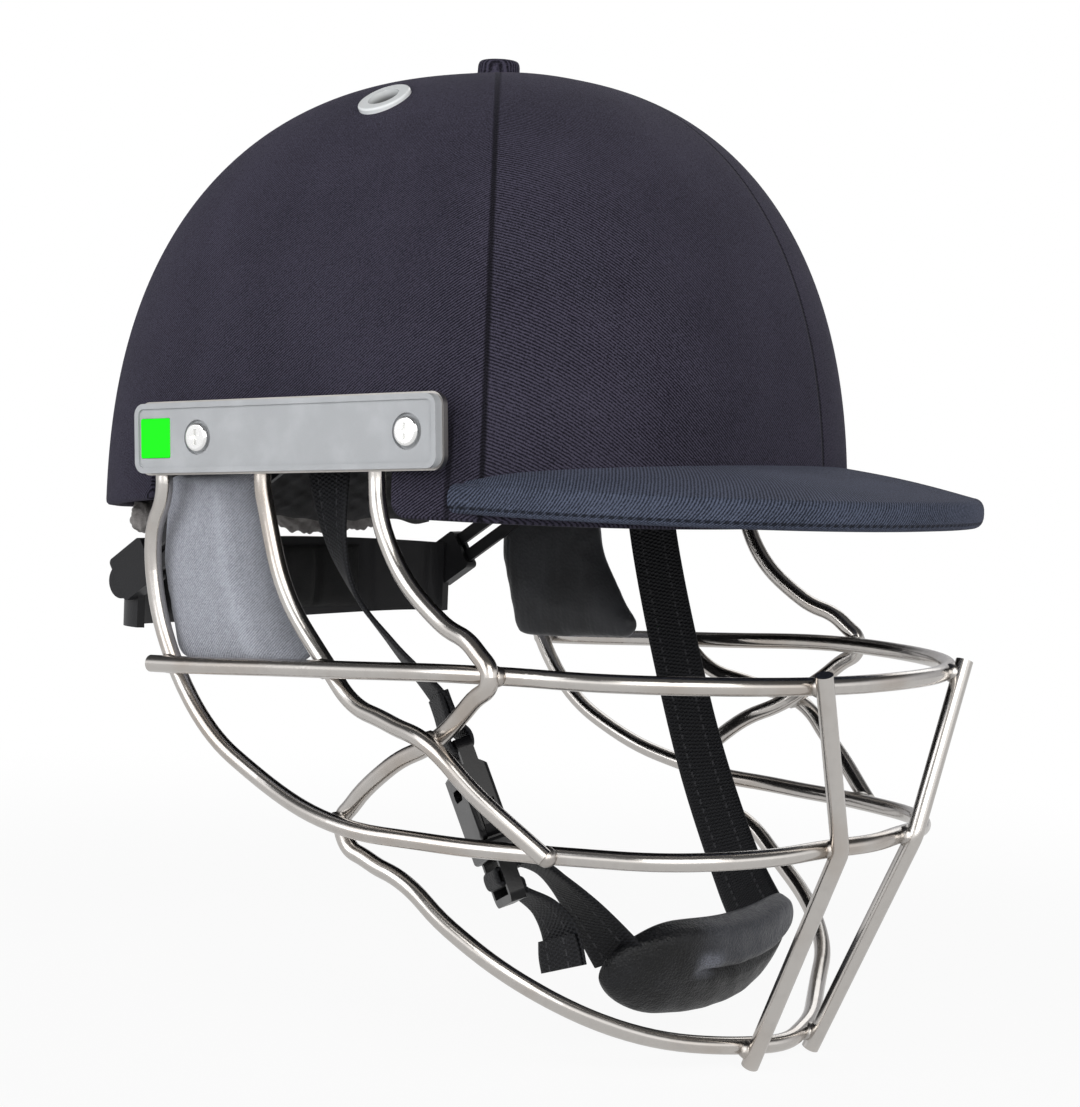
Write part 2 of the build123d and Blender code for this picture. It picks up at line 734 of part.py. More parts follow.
def wire(points):
    """Round wire bent along its points, in pairs of arcs that share their direction where they meet."""
    runs = [after - before for before, after in zip(points, points[1:])]
    turns = [before.normalized() * after.length + after.normalized() * before.length
             for before, after in zip(runs, runs[1:])]
    headings = [t.normalized() for t in [runs[0]] + turns + [runs[-1]]]
    with BuildPart() as form:
        with BuildLine() as route:
            for start, end, leave, arrive in zip(points, points[1:], headings, headings[1:]):
                chord, total, spread = end - start, leave + arrive, 2 * (1 - leave.dot(arrive))
                if spread * grille_reach < running_clearance / 8:
                    reach = chord.length / 4 * (chord.length / chord.dot(arrive))
                else:
                    along = chord.dot(total)
                    reach = (sqrt(along ** 2 + spread * chord.dot(chord)) - along) / spread
                low, high = start + leave * reach, end - arrive * reach
                middle, heading = (low + high) / 2, (high - low).normalized()
                for first, last, way in ((start, middle, leave), (middle, end, heading)):
                    if way.get_angle(last - first) < straight_angle:
                        Line(first, last)
                    else:
                        TangentArc(first, last, tangent=way)
        with BuildSketch(Plane(origin=points[0], z_dir=headings[0])):
            Circle(wire_diameter / 2)
        sweep(path=route.line)
    return form.part


def across(points):
    """Route of the left half carried on to the right half."""
    return points + [Vector(-p.X, p.Y, p.Z) for p in points[-2::-1]]


with BuildPart() as grille_upper_ring:
    add(wire(across([wire_point(*row) for row in upper_ring_shares])))
grille_upper_ring.part.label = "grille_upper_ring"
export_step(grille_upper_ring.part, "parts/grille_upper_ring.step")

with BuildPart() as grille_middle_ring:
    add(wire(across(wire_top(middle_top) + [wire_point(*row) for row in middle_ring_shares])))
grille_middle_ring.part.label = "grille_middle_ring"
export_step(grille_middle_ring.part, "parts/grille_middle_ring.step")

with BuildPart() as grille_chin_ring:
    add(wire(across(wire_top(chin_top) + [wire_point(*row) for row in chin_ring_shares])))
grille_chin_ring.part.label = "grille_chin_ring"
export_step(grille_chin_ring.part, "parts/grille_chin_ring.step")

with BuildPart() as grille_cheek_wire_left:
    add(wire(wire_top(cheek_top) + [wire_point(*row) for row in cheek_wire_shares]))
grille_cheek_wire_left.part.label = "grille_cheek_wire_left"
export_step(grille_cheek_wire_left.part, "parts/grille_cheek_wire_left.step")

with BuildPart() as grille_cheek_wire_right:
    mirror(grille_cheek_wire_left.part, about=Plane.YZ)
grille_cheek_wire_right.part.label = "grille_cheek_wire_right"
export_step(grille_cheek_wire_right.part, "parts/grille_cheek_wire_right.step")

# Front bars: straight above and below the middle ring, cut square at both ends
bar_top, bar_middle, bar_low = [wire_point(*row) for row in bar_shares]
bar_top = bar_top + (bar_top - bar_middle).normalized() * bar_overhang
bar_low = bar_low + (bar_low - bar_middle).normalized() * bar_overhang
with BuildPart() as grille_front_bar_left:
    with BuildLine() as bar_route:
        FilletPolyline(bar_top, bar_middle, bar_low, radius=bar_bend)
    with BuildSketch(Plane(origin=bar_top, z_dir=bar_middle - bar_top)):
        Circle(wire_diameter / 2)
    sweep(path=bar_route.line)
grille_front_bar_left.part.label = "grille_front_bar_left"
export_step(grille_front_bar_left.part, "parts/grille_front_bar_left.step")

with BuildPart() as grille_front_bar_right:
    mirror(grille_front_bar_left.part, about=Plane.YZ)
grille_front_bar_right.part.label = "grille_front_bar_right"
export_step(grille_front_bar_right.part, "parts/grille_front_bar_right.step")

# Temple pads: soft blocks between the grille and the face, with a tab that goes up inside the shell
temple_pad_shares = [(0.88, 0.42), (0.33, 0.42), (0.22, -0.2), (0.06, -0.65), (-0.09, -0.89), (0.76, -0.98),
                     (0.87, -0.3)]
pad_inside = temple_pad_outer - temple_pad_thickness
with BuildPart() as temple_pad_left:
    with BuildSketch(Plane.YZ.offset(pad_inside)):
        with BuildLine():
            Polyline(*[(y * temple_pad_length, z * temple_pad_drop) for y, z in temple_pad_shares], close=True)
        make_face()
        fillet(vertices(), temple_pad_corner)
    extrude(amount=temple_pad_thickness)
    fillet(temple_pad_left.faces().sort_by(Axis.X)[0].edges(), temple_pad_round)
    fillet(temple_pad_left.faces().sort_by(Axis.X)[-1].edges(), temple_pad_round)
    tab_low = temple_pad_shares[0][1] * temple_pad_drop - temple_pad_corner
    tab_high = ear_top + liner_ear_margin - liner_gap
    with BuildSketch(Plane.YZ.offset(pad_inside)):
        with Locations((temple_tab_start + temple_tab_length / 2, (tab_low + tab_high) / 2)):
            RectangleRounded(temple_tab_length, tab_high - tab_low, temple_pad_round)
    extrude(amount=temple_tab_thickness)
temple_pad_left.part.label = "temple_pad_left"
export_step(temple_pad_left.part, "parts/temple_pad_left.step")

with BuildPart() as temple_pad_right:
    mirror(temple_pad_left.part, about=Plane.YZ)
temple_pad_right.part.label = "temple_pad_right"
export_step(temple_pad_right.part, "parts/temple_pad_right.step")

# Anchor posts, seated on the shell's inside
post_plane = Plane(origin=(anchor_post_end, -anchor_ahead, anchor_level), x_dir=(0, 1, 0), z_dir=(1, 0, 0))
post_hole = anchor_post_diameter / 2 + running_clearance
with BuildPart() as strap_anchor_left:
    with BuildSketch(post_plane):
        Circle(anchor_post_diameter / 2)
    extrude(amount=anchor_post_length)
    with BuildSketch(post_plane.offset(-anchor_head_thickness / 2)):
        Circle(anchor_head_diameter / 2)
    extrude(amount=anchor_head_thickness)
    fillet(strap_anchor_left.faces().sort_by(Axis.X)[0].edges(), anchor_head_thickness / 3)
    with BuildSketch(post_plane.offset(shell_half_width - shell_wall - anchor_base_thickness - anchor_post_end)):
        Circle(anchor_head_diameter / 2)
    extrude(amount=shell_wall)
    add(shell_inside, mode=Mode.INTERSECT)
strap_anchor_left.part.label = "strap_anchor_left"
export_step(strap_anchor_left.part, "parts/strap_anchor_left.step")

with BuildPart() as strap_anchor_right:
    mirror(strap_anchor_left.part, about=Plane.YZ)
strap_anchor_right.part.label = "strap_anchor_right"
export_step(strap_anchor_right.part, "parts/strap_anchor_right.step")


def eased(rows):
    """Rows of points or directions with smooth places filled in between them."""
    last, filled = len(rows) - 1, []
    for i in range(last):
        before, start, end, after = rows[max(i - 1, 0)], rows[i], rows[i + 1], rows[min(i + 2, last)]
        for share in (0, 0.25, 0.5, 0.75):
            leave, arrive = (end - before) / 2, (after - start) / 2
            filled.append(start * (1 - share) ** 2 * (1 + 2 * share) + end * share ** 2 * (3 - 2 * share)
                          + leave * share * (1 - share) ** 2 - arrive * share ** 2 * (1 - share))
    return filled + [rows[last]]


def band(route, widths):
    """Flat webbing through the points of its route, each with the direction of its width."""
    places = eased(route)
    with BuildPart() as form:
        for i, (point, wide) in enumerate(zip(places, eased(widths))):
            ahead = places[min(i + 1, len(places) - 1)] - places[max(i - 1, 0)]
            with BuildSketch(Plane(origin=point, x_dir=wide, z_dir=ahead)):
                Rectangle(webbing_width, webbing_thickness)
        loft(ruled=True)
    return form.part


def between(start, end, shares):
    """Points on the way from start to end, each with its own share of the way in x, y and z."""
    way = end - start
    return [start + Vector(way.X * x, way.Y * y, way.Z * z) for x, y, z in shares]


# Chin cup: a padded bar across the chin, its ends carried back and up
cup_station_shares = (-1.0, -0.8, -0.4, 0.0, 0.4, 0.8, 1.0)
cup_up = Vector(0, -sin(radians(cup_tilt)), cos(radians(cup_tilt)))
cup_front = Vector(0, -cos(radians(cup_tilt)), -sin(radians(cup_tilt)))


def cup_point(share):
    return Vector(share * cup_half_length, cup_sweep * share ** 2 - cup_ahead, cup_rise * share ** 2 - cup_level)


with BuildPart() as chin_cup:
    for share in cup_station_shares:
        size = 1 - (1 - cup_end_share) * share ** 4
        along = Vector(cup_half_length, 2 * cup_sweep * share, 2 * cup_rise * share)
        with BuildSketch(Plane(origin=cup_point(share), x_dir=cup_up, z_dir=along)):
            RectangleRounded(cup_height * size, cup_thickness * size, cup_round * size)
    loft()
    with BuildSketch(Plane(origin=cup_point(0), x_dir=(1, 0, 0), z_dir=cup_front)):
        SlotOverall(cup_slit, cup_slit_width)
    extrude(amount=cup_thickness, both=True, mode=Mode.SUBTRACT)
chin_cup.part.label = "chin_cup"
export_step(chin_cup.part, "parts/chin_cup.step")

# Webbing of the far side, from its anchor post to the chin cup
far_shares = [(0.0, 0.0, -0.045), (0.0, 0.0, 0.06), (0.0, 0.05, 0.24), (0.05, 0.19, 0.47), (0.2, 0.41, 0.72),
              (0.55, 0.72, 0.92), (1.0, 1.0, 1.0)]
far_lean_shares = (0.0, 0.0, 0.0, 0.1, 0.3, 0.5, 0.55)
far_post = Vector(webbing_side, -anchor_ahead, anchor_level)
far_route = between(far_post, cup_point(1) - Vector(webbing_overlap, 0, 0), far_shares)
with BuildPart() as webbing_far:
    add(band(far_route, [Vector(0, 1, -lean) for lean in far_lean_shares]))
    with BuildSketch(post_plane):
        Circle(post_hole)
    extrude(amount=shell_half_width - anchor_post_end, mode=Mode.SUBTRACT)
    add(chin_cup.part, mode=Mode.SUBTRACT)
webbing_far.part.label = "webbing_far"
export_step(webbing_far.part, "parts/webbing_far.step")

# Buckle: a plane at its top, with its width along x, its thickness along y and its length running down
buckle_down = Vector(sin(radians(buckle_in)), -sin(radians(buckle_lean)), -cos(radians(buckle_lean))).normalized()
buckle_level = Vector(1, 0, 0).cross(buckle_down).normalized()


def buckle_width_at(turn):
    """Direction across the webbing at the buckle, turned inwards about the buckle's length."""
    return buckle_level * cos(radians(turn)) + buckle_down.cross(buckle_level) * sin(radians(turn))


buckle_plane = Plane(origin=(-buckle_side, -buckle_ahead, -buckle_start), x_dir=buckle_width_at(buckle_turn),
                     z_dir=buckle_down)
buckle_face = Plane(origin=buckle_plane.origin, x_dir=buckle_plane.x_dir, z_dir=buckle_plane.y_dir)
buckle_profile = Plane(origin=buckle_plane.origin, x_dir=buckle_plane.z_dir, z_dir=-buckle_plane.x_dir)
mouth = buckle_loop + buckle_length
cavity_width, cavity_depth = buckle_width - 2 * buckle_wall, buckle_thickness - 2 * buckle_wall
thin, thick = lock_thickness / 2, buckle_thickness / 2
with BuildPart() as buckle_socket:
    with BuildSketch(buckle_face.offset(-thick)):
        with Locations((0, -mouth / 2)):
            RectangleRounded(buckle_width, mouth, buckle_round)
    extrude(amount=buckle_thickness)
    fillet(buckle_socket.faces().filter_by(buckle_face).edges(), buckle_edge)
    with BuildSketch(buckle_profile):
        Polygon((0, thin), (buckle_loop, thin), (buckle_loop + buckle_wall, thick), (mouth, thick), (mouth, -thick),
                (buckle_loop + buckle_wall, -thick), (buckle_loop, -thin), (0, -thin), align=None)
    extrude(amount=buckle_width, both=True, mode=Mode.INTERSECT)
    with BuildSketch(buckle_plane.offset(buckle_bar)):
        Rectangle(buckle_width - 2 * lock_rail, buckle_thickness)
    extrude(amount=buckle_loop - buckle_bar, mode=Mode.SUBTRACT)
    with BuildSketch(buckle_plane.offset(buckle_loop + buckle_wall)):
        Rectangle(cavity_width, cavity_depth)
    extrude(amount=buckle_length, mode=Mode.SUBTRACT)
    with BuildSketch(buckle_plane.offset(mouth - prong_length + prong_width)):
        Rectangle(2 * buckle_width, cavity_depth)
    extrude(amount=prong_length, mode=Mode.SUBTRACT)
    with BuildSketch(buckle_face.offset(-buckle_thickness)):
        with Locations((0, -buckle_loop - buckle_length / 3)):
            SlotOverall(buckle_window_width, buckle_window_height)
    extrude(amount=2 * buckle_thickness, mode=Mode.SUBTRACT)
buckle_socket.part.label = "buckle_socket"
export_step(buckle_socket.part, "parts/buckle_socket.step")

# Webbing of the near side: it twists on its way down and loops round the socket's top bar
loop_half = thin + webbing_gap + webbing_thickness
near_shares = [(0.0, 0.0, -0.074), (0.0, 0.0, 0.1), (0.0, 0.09, 0.4), (0.2, 0.27, 0.6), (0.4, 0.6, 0.76),
               (0.8, 0.88, 0.93), (1.0, 1.0, 1.0)]
near_post = Vector(-webbing_side, -anchor_ahead, anchor_level)
loop_start = -2 * webbing_overlap / 3
near_route = between(near_post, buckle_plane.from_local_coords((0, 0, loop_start)), near_shares)
near_route[-2] = buckle_plane.from_local_coords((0, 0, loop_start - webbing_overlap))
near_widths = [Vector(0, 1, 0), Vector(0, 1, 0), Vector(0.45, 0.9, 0), Vector(0.7, 0.7, 0), Vector(0.7, 0.7, -0.1)]
near_widths += [buckle_plane.x_dir] * 2
with BuildPart() as webbing_near:
    add(band(near_route, near_widths))
    with BuildSketch(buckle_profile):
        Polygon((loop_start - webbing_gap, webbing_thickness / 2), (-webbing_gap - webbing_thickness, loop_half),
                (buckle_bar + webbing_gap + webbing_thickness, loop_half),
                (buckle_bar + webbing_gap + webbing_thickness, -loop_half),
                (-webbing_gap - webbing_thickness, -loop_half), (loop_start - webbing_gap, -webbing_thickness / 2),
                align=None)
        with Locations((buckle_bar / 2, 0)):
            Rectangle(buckle_bar + 2 * webbing_gap, lock_thickness + 2 * webbing_gap, mode=Mode.SUBTRACT)
    extrude(amount=webbing_width / 2, both=True)
    with BuildSketch(post_plane):
        Circle(post_hole)
    extrude(amount=-shell_half_width - anchor_post_end, mode=Mode.SUBTRACT)
webbing_near.part.label = "webbing_near"
export_step(webbing_near.part, "parts/webbing_near.step")

# Buckle plug: tongue, base with two round sockets for the prongs, and a ladder lock with three bars
plug_top = mouth + buckle_fit
lock_top = plug_top + plug_base_length
plug_end = lock_top + lock_length
slot_height = (lock_length - 2 * lock_bar) / 2
prong_side = cavity_width / 2 - prong_width / 2 - 2 * buckle_fit
knuckle_level = plug_top + prong_width / 4
middle_bar = lock_top + slot_height
with BuildPart() as buckle_plug:
    with BuildSketch(buckle_face.offset(-thick)):
        with Locations((0, -plug_top - plug_base_length / 2)):
            RectangleRounded(buckle_width, plug_base_length, buckle_edge)
    extrude(amount=buckle_thickness)
    fillet(buckle_plug.faces().filter_by(buckle_face).edges(), buckle_edge)
    with BuildSketch(buckle_face.offset(-thin)):
        with Locations((0, -lock_top - lock_length / 2 + buckle_edge)):
            RectangleRounded(buckle_width, lock_length + 2 * buckle_edge, buckle_round)
        with Locations((0, -lock_top - slot_height / 2), (0, -plug_end + lock_bar + slot_height / 2)):
            Rectangle(buckle_width - 2 * lock_rail, slot_height, mode=Mode.SUBTRACT)
    extrude(amount=lock_thickness)
    with BuildSketch(buckle_plane.offset(buckle_loop + buckle_wall + buckle_fit)):
        Rectangle(plug_tongue_width, cavity_depth - 2 * buckle_fit)
    extrude(amount=plug_top - buckle_loop - buckle_wall - buckle_fit + plug_base_length / 2)
    with BuildSketch(buckle_face.offset(-cavity_depth / 2)):
        with Locations((-prong_side, -knuckle_level), (prong_side, -knuckle_level)):
            Circle(prong_width / 2 + running_clearance)
            with Locations((0, prong_width / 2)):
                Rectangle(prong_width + 2 * prong_swing_room, prong_width)
    extrude(amount=cavity_depth, mode=Mode.SUBTRACT)
buckle_plug.part.label = "buckle_plug"
export_step(buckle_plug.part, "parts/buckle_plug.step")

# Prongs: a round foot in the plug's base, a straight arm and a thumb bulge that shows in the socket's side
prong_outline_shares = [(-1.0, 0.0), (-1.0, 0.86), (-0.5, 0.97), (0.4, 1.0), (1.0, 0.94)]
bulge_shares = [(0.0, 0.93), (0.9, 0.84), (1.0, 0.7), (0.95, 0.4), (0.3, 0.2), (0.0, 0.12), (0.0, 0.0)]
arm_run = prong_length - prong_width / 2
prong_points = [(x * prong_width / 2, z * arm_run) for x, z in prong_outline_shares]
prong_points += [(prong_width / 2 + x * prong_bulge, z * arm_run) for x, z in bulge_shares]
with BuildPart() as prong_rear:
    with BuildSketch(buckle_face.offset(-cavity_depth / 2 + buckle_fit)):
        with Locations((prong_side, -knuckle_level)):
            Circle(prong_width / 2)
            Polygon(*prong_points, align=None)
    extrude(amount=cavity_depth - 2 * buckle_fit)
prong_rear.part.label = "prong_rear"
export_step(prong_rear.part, "parts/prong_rear.step")

with BuildPart() as prong_front:
    mirror(prong_rear.part, about=buckle_profile)
prong_front.part.label = "prong_front"
export_step(prong_front.part, "parts/prong_front.step")

# Tail webbing: over the lock's middle bar, under its last bar and out as a free end
leg_start = middle_bar - webbing_gap - webbing_thickness
leg_end = middle_bar + lock_bar + webbing_gap + webbing_thickness
near_face, low_face = thin + webbing_gap, thin + webbing_gap + webbing_thickness
tail_shares = [(0.0, 0.0), (0.06, 0.02), (0.3, 0.2), (0.62, 0.27), (1.0, 0.2)]
tail_route = [buckle_plane.from_local_coords((0, near_face + webbing_thickness / 2 + y * tail_length,
                                              leg_end + webbing_thickness + z * tail_length)) for z, y in tail_shares]
tail_twist_shares = (0.0, 0.0, 0.4, 0.8, 1.0)
tail_widths = [buckle_width_at(buckle_turn - tail_turn * t) for t in tail_twist_shares]
with BuildPart() as webbing_tail:
    with BuildSketch(buckle_profile):
        Polygon((leg_start, low_face + webbing_gap), (leg_start, -low_face), (leg_end, -low_face),
                (leg_end, near_face), (leg_end + webbing_thickness, near_face),
                (leg_end + webbing_thickness, low_face), (leg_end - webbing_thickness, low_face),
                (leg_end - webbing_thickness, -near_face), (leg_start + webbing_thickness, -near_face),
                (leg_start + webbing_thickness, low_face + webbing_gap), align=None)
    extrude(amount=webbing_width / 2, both=True)
    add(band(tail_route, tail_widths))
webbing_tail.part.label = "webbing_tail"
export_step(webbing_tail.part, "parts/webbing_tail.step")

# Lower webbing, from the lock's first slot to the near end of the chin cup
lower_shares = [(0.0, 0.0, 0.0), (0.0, 0.07, 0.0), (0.0, 0.19, 0.02), (0.2, 0.44, 0.18), (0.5, 0.72, 0.53),
                (1.0, 1.0, 1.0)]
lower_start = Vector(0, low_face + 5 * webbing_gap, leg_start + webbing_thickness / 2)
lower_end = buckle_plane.to_local_coords(cup_point(-1) + Vector(webbing_overlap, 0, 0))
lower_route = [buckle_plane.from_local_coords(place) for place in between(lower_start, lower_end, lower_shares)]
with BuildPart() as webbing_lower:
    add(band(lower_route, [buckle_plane.x_dir] * 4 + [Vector(0.4, 0.9, -0.4), Vector(0, 1, -far_lean_shares[-1])]))
    add(chin_cup.part, mode=Mode.SUBTRACT)
webbing_lower.part.label = "webbing_lower"
export_step(webbing_lower.part, "parts/webbing_lower.step")

# Rear adjuster arms: flat plates that hang from the anchor posts and run down to the rear
arm_along = Vector(0, cos(radians(arm_fall)), -sin(radians(arm_fall)))
arm_plane = Plane(origin=(arm_side, -anchor_ahead, anchor_level), x_dir=arm_along, z_dir=(1, 0, 0))
with BuildPart() as adjuster_arm_left:
    with BuildSketch(arm_plane.offset(-arm_thickness / 2)):
        with Locations((arm_length / 2, 0)):
            SlotCenterToCenter(arm_length, arm_width)
        with Locations((arm_slot_end - arm_slot_length / 2, 0)):
            SlotOverall(arm_slot_length, arm_slot_width, mode=Mode.SUBTRACT)
        Circle(post_hole, mode=Mode.SUBTRACT)
    extrude(amount=arm_thickness)
adjuster_arm_left.part.label = "adjuster_arm_left"
export_step(adjuster_arm_left.part, "parts/adjuster_arm_left.step")

with BuildPart() as adjuster_arm_right:
    mirror(adjuster_arm_left.part, about=Plane.YZ)
adjuster_arm_right.part.label = "adjuster_arm_right"
export_step(adjuster_arm_right.part, "parts/adjuster_arm_right.step")

# Cradle: a bowed band behind the neck, with a sleeve round each arm
sleeve_centre = arm_plane.from_local_coords((sleeve_place, 0, 0))
cradle_level = sleeve_centre.Z - cradle_drop
cradle_span = arm_side - arm_thickness / 2 - sleeve_fit - sleeve_wall / 2
channel_width, channel_depth = arm_width + 2 * sleeve_fit, arm_thickness + 2 * sleeve_fit


def bowed(outer, inner):
    """Upright wall that follows the cradle's bow in plan, between two distances outside its middle line."""
    bow = cradle_back - sleeve_centre.Y
    with BuildPart() as form:
        with BuildSketch(Plane(origin=(0, sleeve_centre.Y, cradle_level - cradle_height))):
            for grow, kept in ((outer, Mode.ADD), (inner, Mode.SUBTRACT)):
                with BuildLine():
                    Spline(*[plan_point(cradle_span + grow, bow + grow, bow + grow, cradle_power, 360 * i / around_steps)
                             for i in range(around_steps)], periodic=True)
                make_face(mode=kept)
            with Locations((0, cradle_back)):
                Rectangle(3 * cradle_span, 2 * cradle_back, mode=Mode.INTERSECT)
        extrude(amount=2 * cradle_height)
    return form.part


dial_plane = Plane(origin=(0, cradle_back + cradle_thickness / 2 + dial_seat, cradle_level - dial_drop),
                   x_dir=(1, 0, 0), z_dir=(0, 1, 0))
head_room = dial_shaft_head_thickness + 2 * dial_seat
with BuildPart() as cradle:
    add(bowed(cradle_thickness / 2, -cradle_thickness / 2))
    with BuildSketch(Plane.XZ):
        with BuildLine():
            end_x, end_half, half = cradle_span + cradle_thickness, cradle_end_height / 2, cradle_height / 2
            Spline((-end_x, cradle_level + end_half), (0, cradle_level + half), (end_x, cradle_level + end_half))
            Line((end_x, cradle_level + end_half), (end_x, cradle_level - end_half))
            Spline((end_x, cradle_level - end_half), (0, cradle_level - half), (-end_x, cradle_level - end_half))
            Line((-end_x, cradle_level - end_half), (-end_x, cradle_level + end_half))
        make_face()
    extrude(amount=-2 * cradle_back, mode=Mode.INTERSECT)
    for side in (arm_plane, Plane(origin=(-arm_side, -anchor_ahead, anchor_level), x_dir=arm_along, z_dir=(1, 0, 0))):
        with BuildSketch(side.offset(-channel_depth / 2 - sleeve_wall)):
            with Locations((sleeve_place, 0)):
                RectangleRounded(sleeve_length, channel_width + 2 * sleeve_wall, sleeve_wall)
        extrude(amount=channel_depth + 2 * sleeve_wall)
        with BuildSketch(side.offset(-channel_depth / 2)):
            with Locations((sleeve_place, 0)):
                Rectangle(2 * sleeve_length, channel_width)
        extrude(amount=channel_depth, mode=Mode.SUBTRACT)
    with BuildSketch(dial_plane):
        Circle(dial_shaft_diameter / 2 + running_clearance)
    extrude(amount=-2 * cradle_thickness, mode=Mode.SUBTRACT)
    with BuildSketch(dial_plane.offset(-dial_seat - cradle_thickness + head_room)):
        Circle(dial_shaft_head / 2 + dial_seat)
    extrude(amount=-cradle_thickness, mode=Mode.SUBTRACT)
cradle.part.label = "cradle"
export_step(cradle.part, "parts/cradle.step")

# Soft pad on the inside of the cradle
with BuildPart() as cradle_pad:
    add(bowed(-cradle_thickness / 2, -cradle_thickness / 2 - cradle_pad_thickness))
    with BuildSketch(Plane.XZ):
        with Locations((0, cradle_level)):
            RectangleRounded(2 * cradle_pad_half_length, cradle_height - 2 * cradle_pad_margin, cradle_corner)
    extrude(amount=-2 * cradle_back, mode=Mode.INTERSECT)
cradle_pad.part.label = "cradle_pad"
export_step(cradle_pad.part, "parts/cradle_pad.step")

# Dial: a knob with finger grips on a headed shaft through the cradle
with BuildPart() as dial_knob:
    with BuildSketch(dial_plane):
        Circle(dial_diameter / 2)
    extrude(amount=dial_thickness)
    fillet(dial_knob.faces().sort_by(Axis.Y)[-1].edges(), dial_edge)
    with BuildSketch(dial_plane):
        with PolarLocations(dial_diameter / 2, dial_grips):
            Circle(dial_grip_diameter / 2)
    extrude(amount=dial_thickness, mode=Mode.SUBTRACT)
    with BuildSketch(dial_plane):
        Circle(dial_shaft_diameter / 2)
    extrude(amount=-cradle_thickness - dial_seat + dial_seat + dial_shaft_head_thickness)
    with BuildSketch(dial_plane.offset(-cradle_thickness + head_room - 2 * dial_seat)):
        Circle(dial_shaft_head / 2)
    extrude(amount=-dial_shaft_head_thickness)
dial_knob.part.label = "dial_knob"
export_step(dial_knob.part, "parts/dial_knob.step")
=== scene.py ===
"""Looks of a cricket helmet: cloth-covered dome and peak, wire grille, pads, chin strap and rear adjuster.

Lengths are metres, in the frame of the CAD model: +Z is up and the wearer faces -Y.
"""
from math import cos, pi, radians, sin

import bmesh
import bpy
import numpy as np
from bpy.props import FloatProperty, FloatVectorProperty, PointerProperty
from mathutils import Matrix, Vector


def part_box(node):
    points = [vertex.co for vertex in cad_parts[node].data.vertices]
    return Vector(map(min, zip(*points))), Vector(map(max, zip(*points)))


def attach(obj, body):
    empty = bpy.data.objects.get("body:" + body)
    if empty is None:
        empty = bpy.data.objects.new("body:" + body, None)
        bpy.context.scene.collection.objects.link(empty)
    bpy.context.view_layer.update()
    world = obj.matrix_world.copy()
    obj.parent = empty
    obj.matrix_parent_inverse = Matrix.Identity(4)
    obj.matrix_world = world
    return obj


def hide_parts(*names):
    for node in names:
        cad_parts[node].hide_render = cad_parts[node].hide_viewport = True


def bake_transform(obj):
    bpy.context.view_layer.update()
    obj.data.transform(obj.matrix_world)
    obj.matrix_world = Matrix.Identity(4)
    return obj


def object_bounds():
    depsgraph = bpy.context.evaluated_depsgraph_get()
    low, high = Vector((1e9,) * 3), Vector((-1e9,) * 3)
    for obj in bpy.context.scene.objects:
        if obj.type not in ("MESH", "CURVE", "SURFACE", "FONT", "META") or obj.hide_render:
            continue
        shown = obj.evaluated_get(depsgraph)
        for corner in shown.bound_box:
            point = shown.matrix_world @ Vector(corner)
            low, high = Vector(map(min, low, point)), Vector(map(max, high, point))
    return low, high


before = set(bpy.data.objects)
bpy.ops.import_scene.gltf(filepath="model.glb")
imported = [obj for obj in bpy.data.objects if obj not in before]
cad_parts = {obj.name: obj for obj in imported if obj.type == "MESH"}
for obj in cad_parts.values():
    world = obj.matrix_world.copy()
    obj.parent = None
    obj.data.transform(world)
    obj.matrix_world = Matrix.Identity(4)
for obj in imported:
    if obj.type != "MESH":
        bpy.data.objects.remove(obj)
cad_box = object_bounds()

bl_info = {
    "name": "Cricket helmet looks",
    "version": (1, 0, 0),
    "blender": (4, 5, 0),
    "location": "3D View > Sidebar > Helmet",
    "description": "Dresses the CAD model of a cricket helmet in cloth, metal, foam and webbing",
    "category": "Object",
}

# Shell: half width, reach to the front and rear, height, and the powers of its rounded plan and profile
shell_half_width, shell_front, shell_rear, shell_height = 0.094, 0.108, 0.128, 0.143
plan_power, profile_power = 2.6, 2.4
shell_wall = 0.0035

# Cloth: how far its outside stands off the shell, and its hem, turned up inside the rim
cloth_outside = 0.00115
hem_depth, hem_gap = 0.006, 0.00015

# Rim: levels at the front, at the ear and at the rear, where the ear cut-out starts and ends, and its lobe
rim_front, rim_ear, rim_rear = 0.0085, 0.029, 0.001
ear_front, ear_rear, rear_end = -0.038, 0.062, 0.14
lobe_middle, lobe_half, lobe_level = 0.0317, 0.011, 0.0181
rim_corner = 0.005

# Seams of the cover start just behind the button: one runs down each side at seam_angle from the side towards
# the front, one straight to the rear, and one down the far front at inner_seam_angle
seam_angle, inner_seam_angle = radians(39), radians(77)
seam_start = 0.004

# Folds of the cloth beside the side seams: their distance from the seam, and the heights where they fade out
ear_fold_gap, ear_fold_low, ear_fold_high = 0.0095, 0.030, 0.046

# Peak outline and section
peak_centre, peak_half_width, peak_reach, peak_power = -0.052, 0.0895, 0.110, 2.3
peak_root_top, peak_root_fall, peak_root_thickness, peak_root_share = 0.0275, 0.0075, 0.009, 0.93
peak_edge_top, peak_edge_thickness, peak_nose = 0.0185, 0.0085, 0.003
peak_crown, peak_tuck, peak_end = 0.0007, 0.0004, 0.985
peak_stitch_at = 0.0085

# Vents: place and radius of their holes in the cloth, then the middle, direction and radius of their bores,
# and how far along from that middle a bore has full painted shade and from where it has none
vent_side, vent_back, vent_hole = 0.048, 0.009, 0.0072
vent_middle, vent_way, vent_bore = (0.04182, 0.00881, 0.12219), (0.5516, 0.0171, 0.8339), 0.0056
vent_bore_shade_below, vent_bore_shade_ends = 0.0096, 0.0122

# Lining: how far inside the shell the pads start, how thick they are at most and at their border
lining_inside, lining_thickness, cushion_border = 0.0161, 0.0041, 0.0001

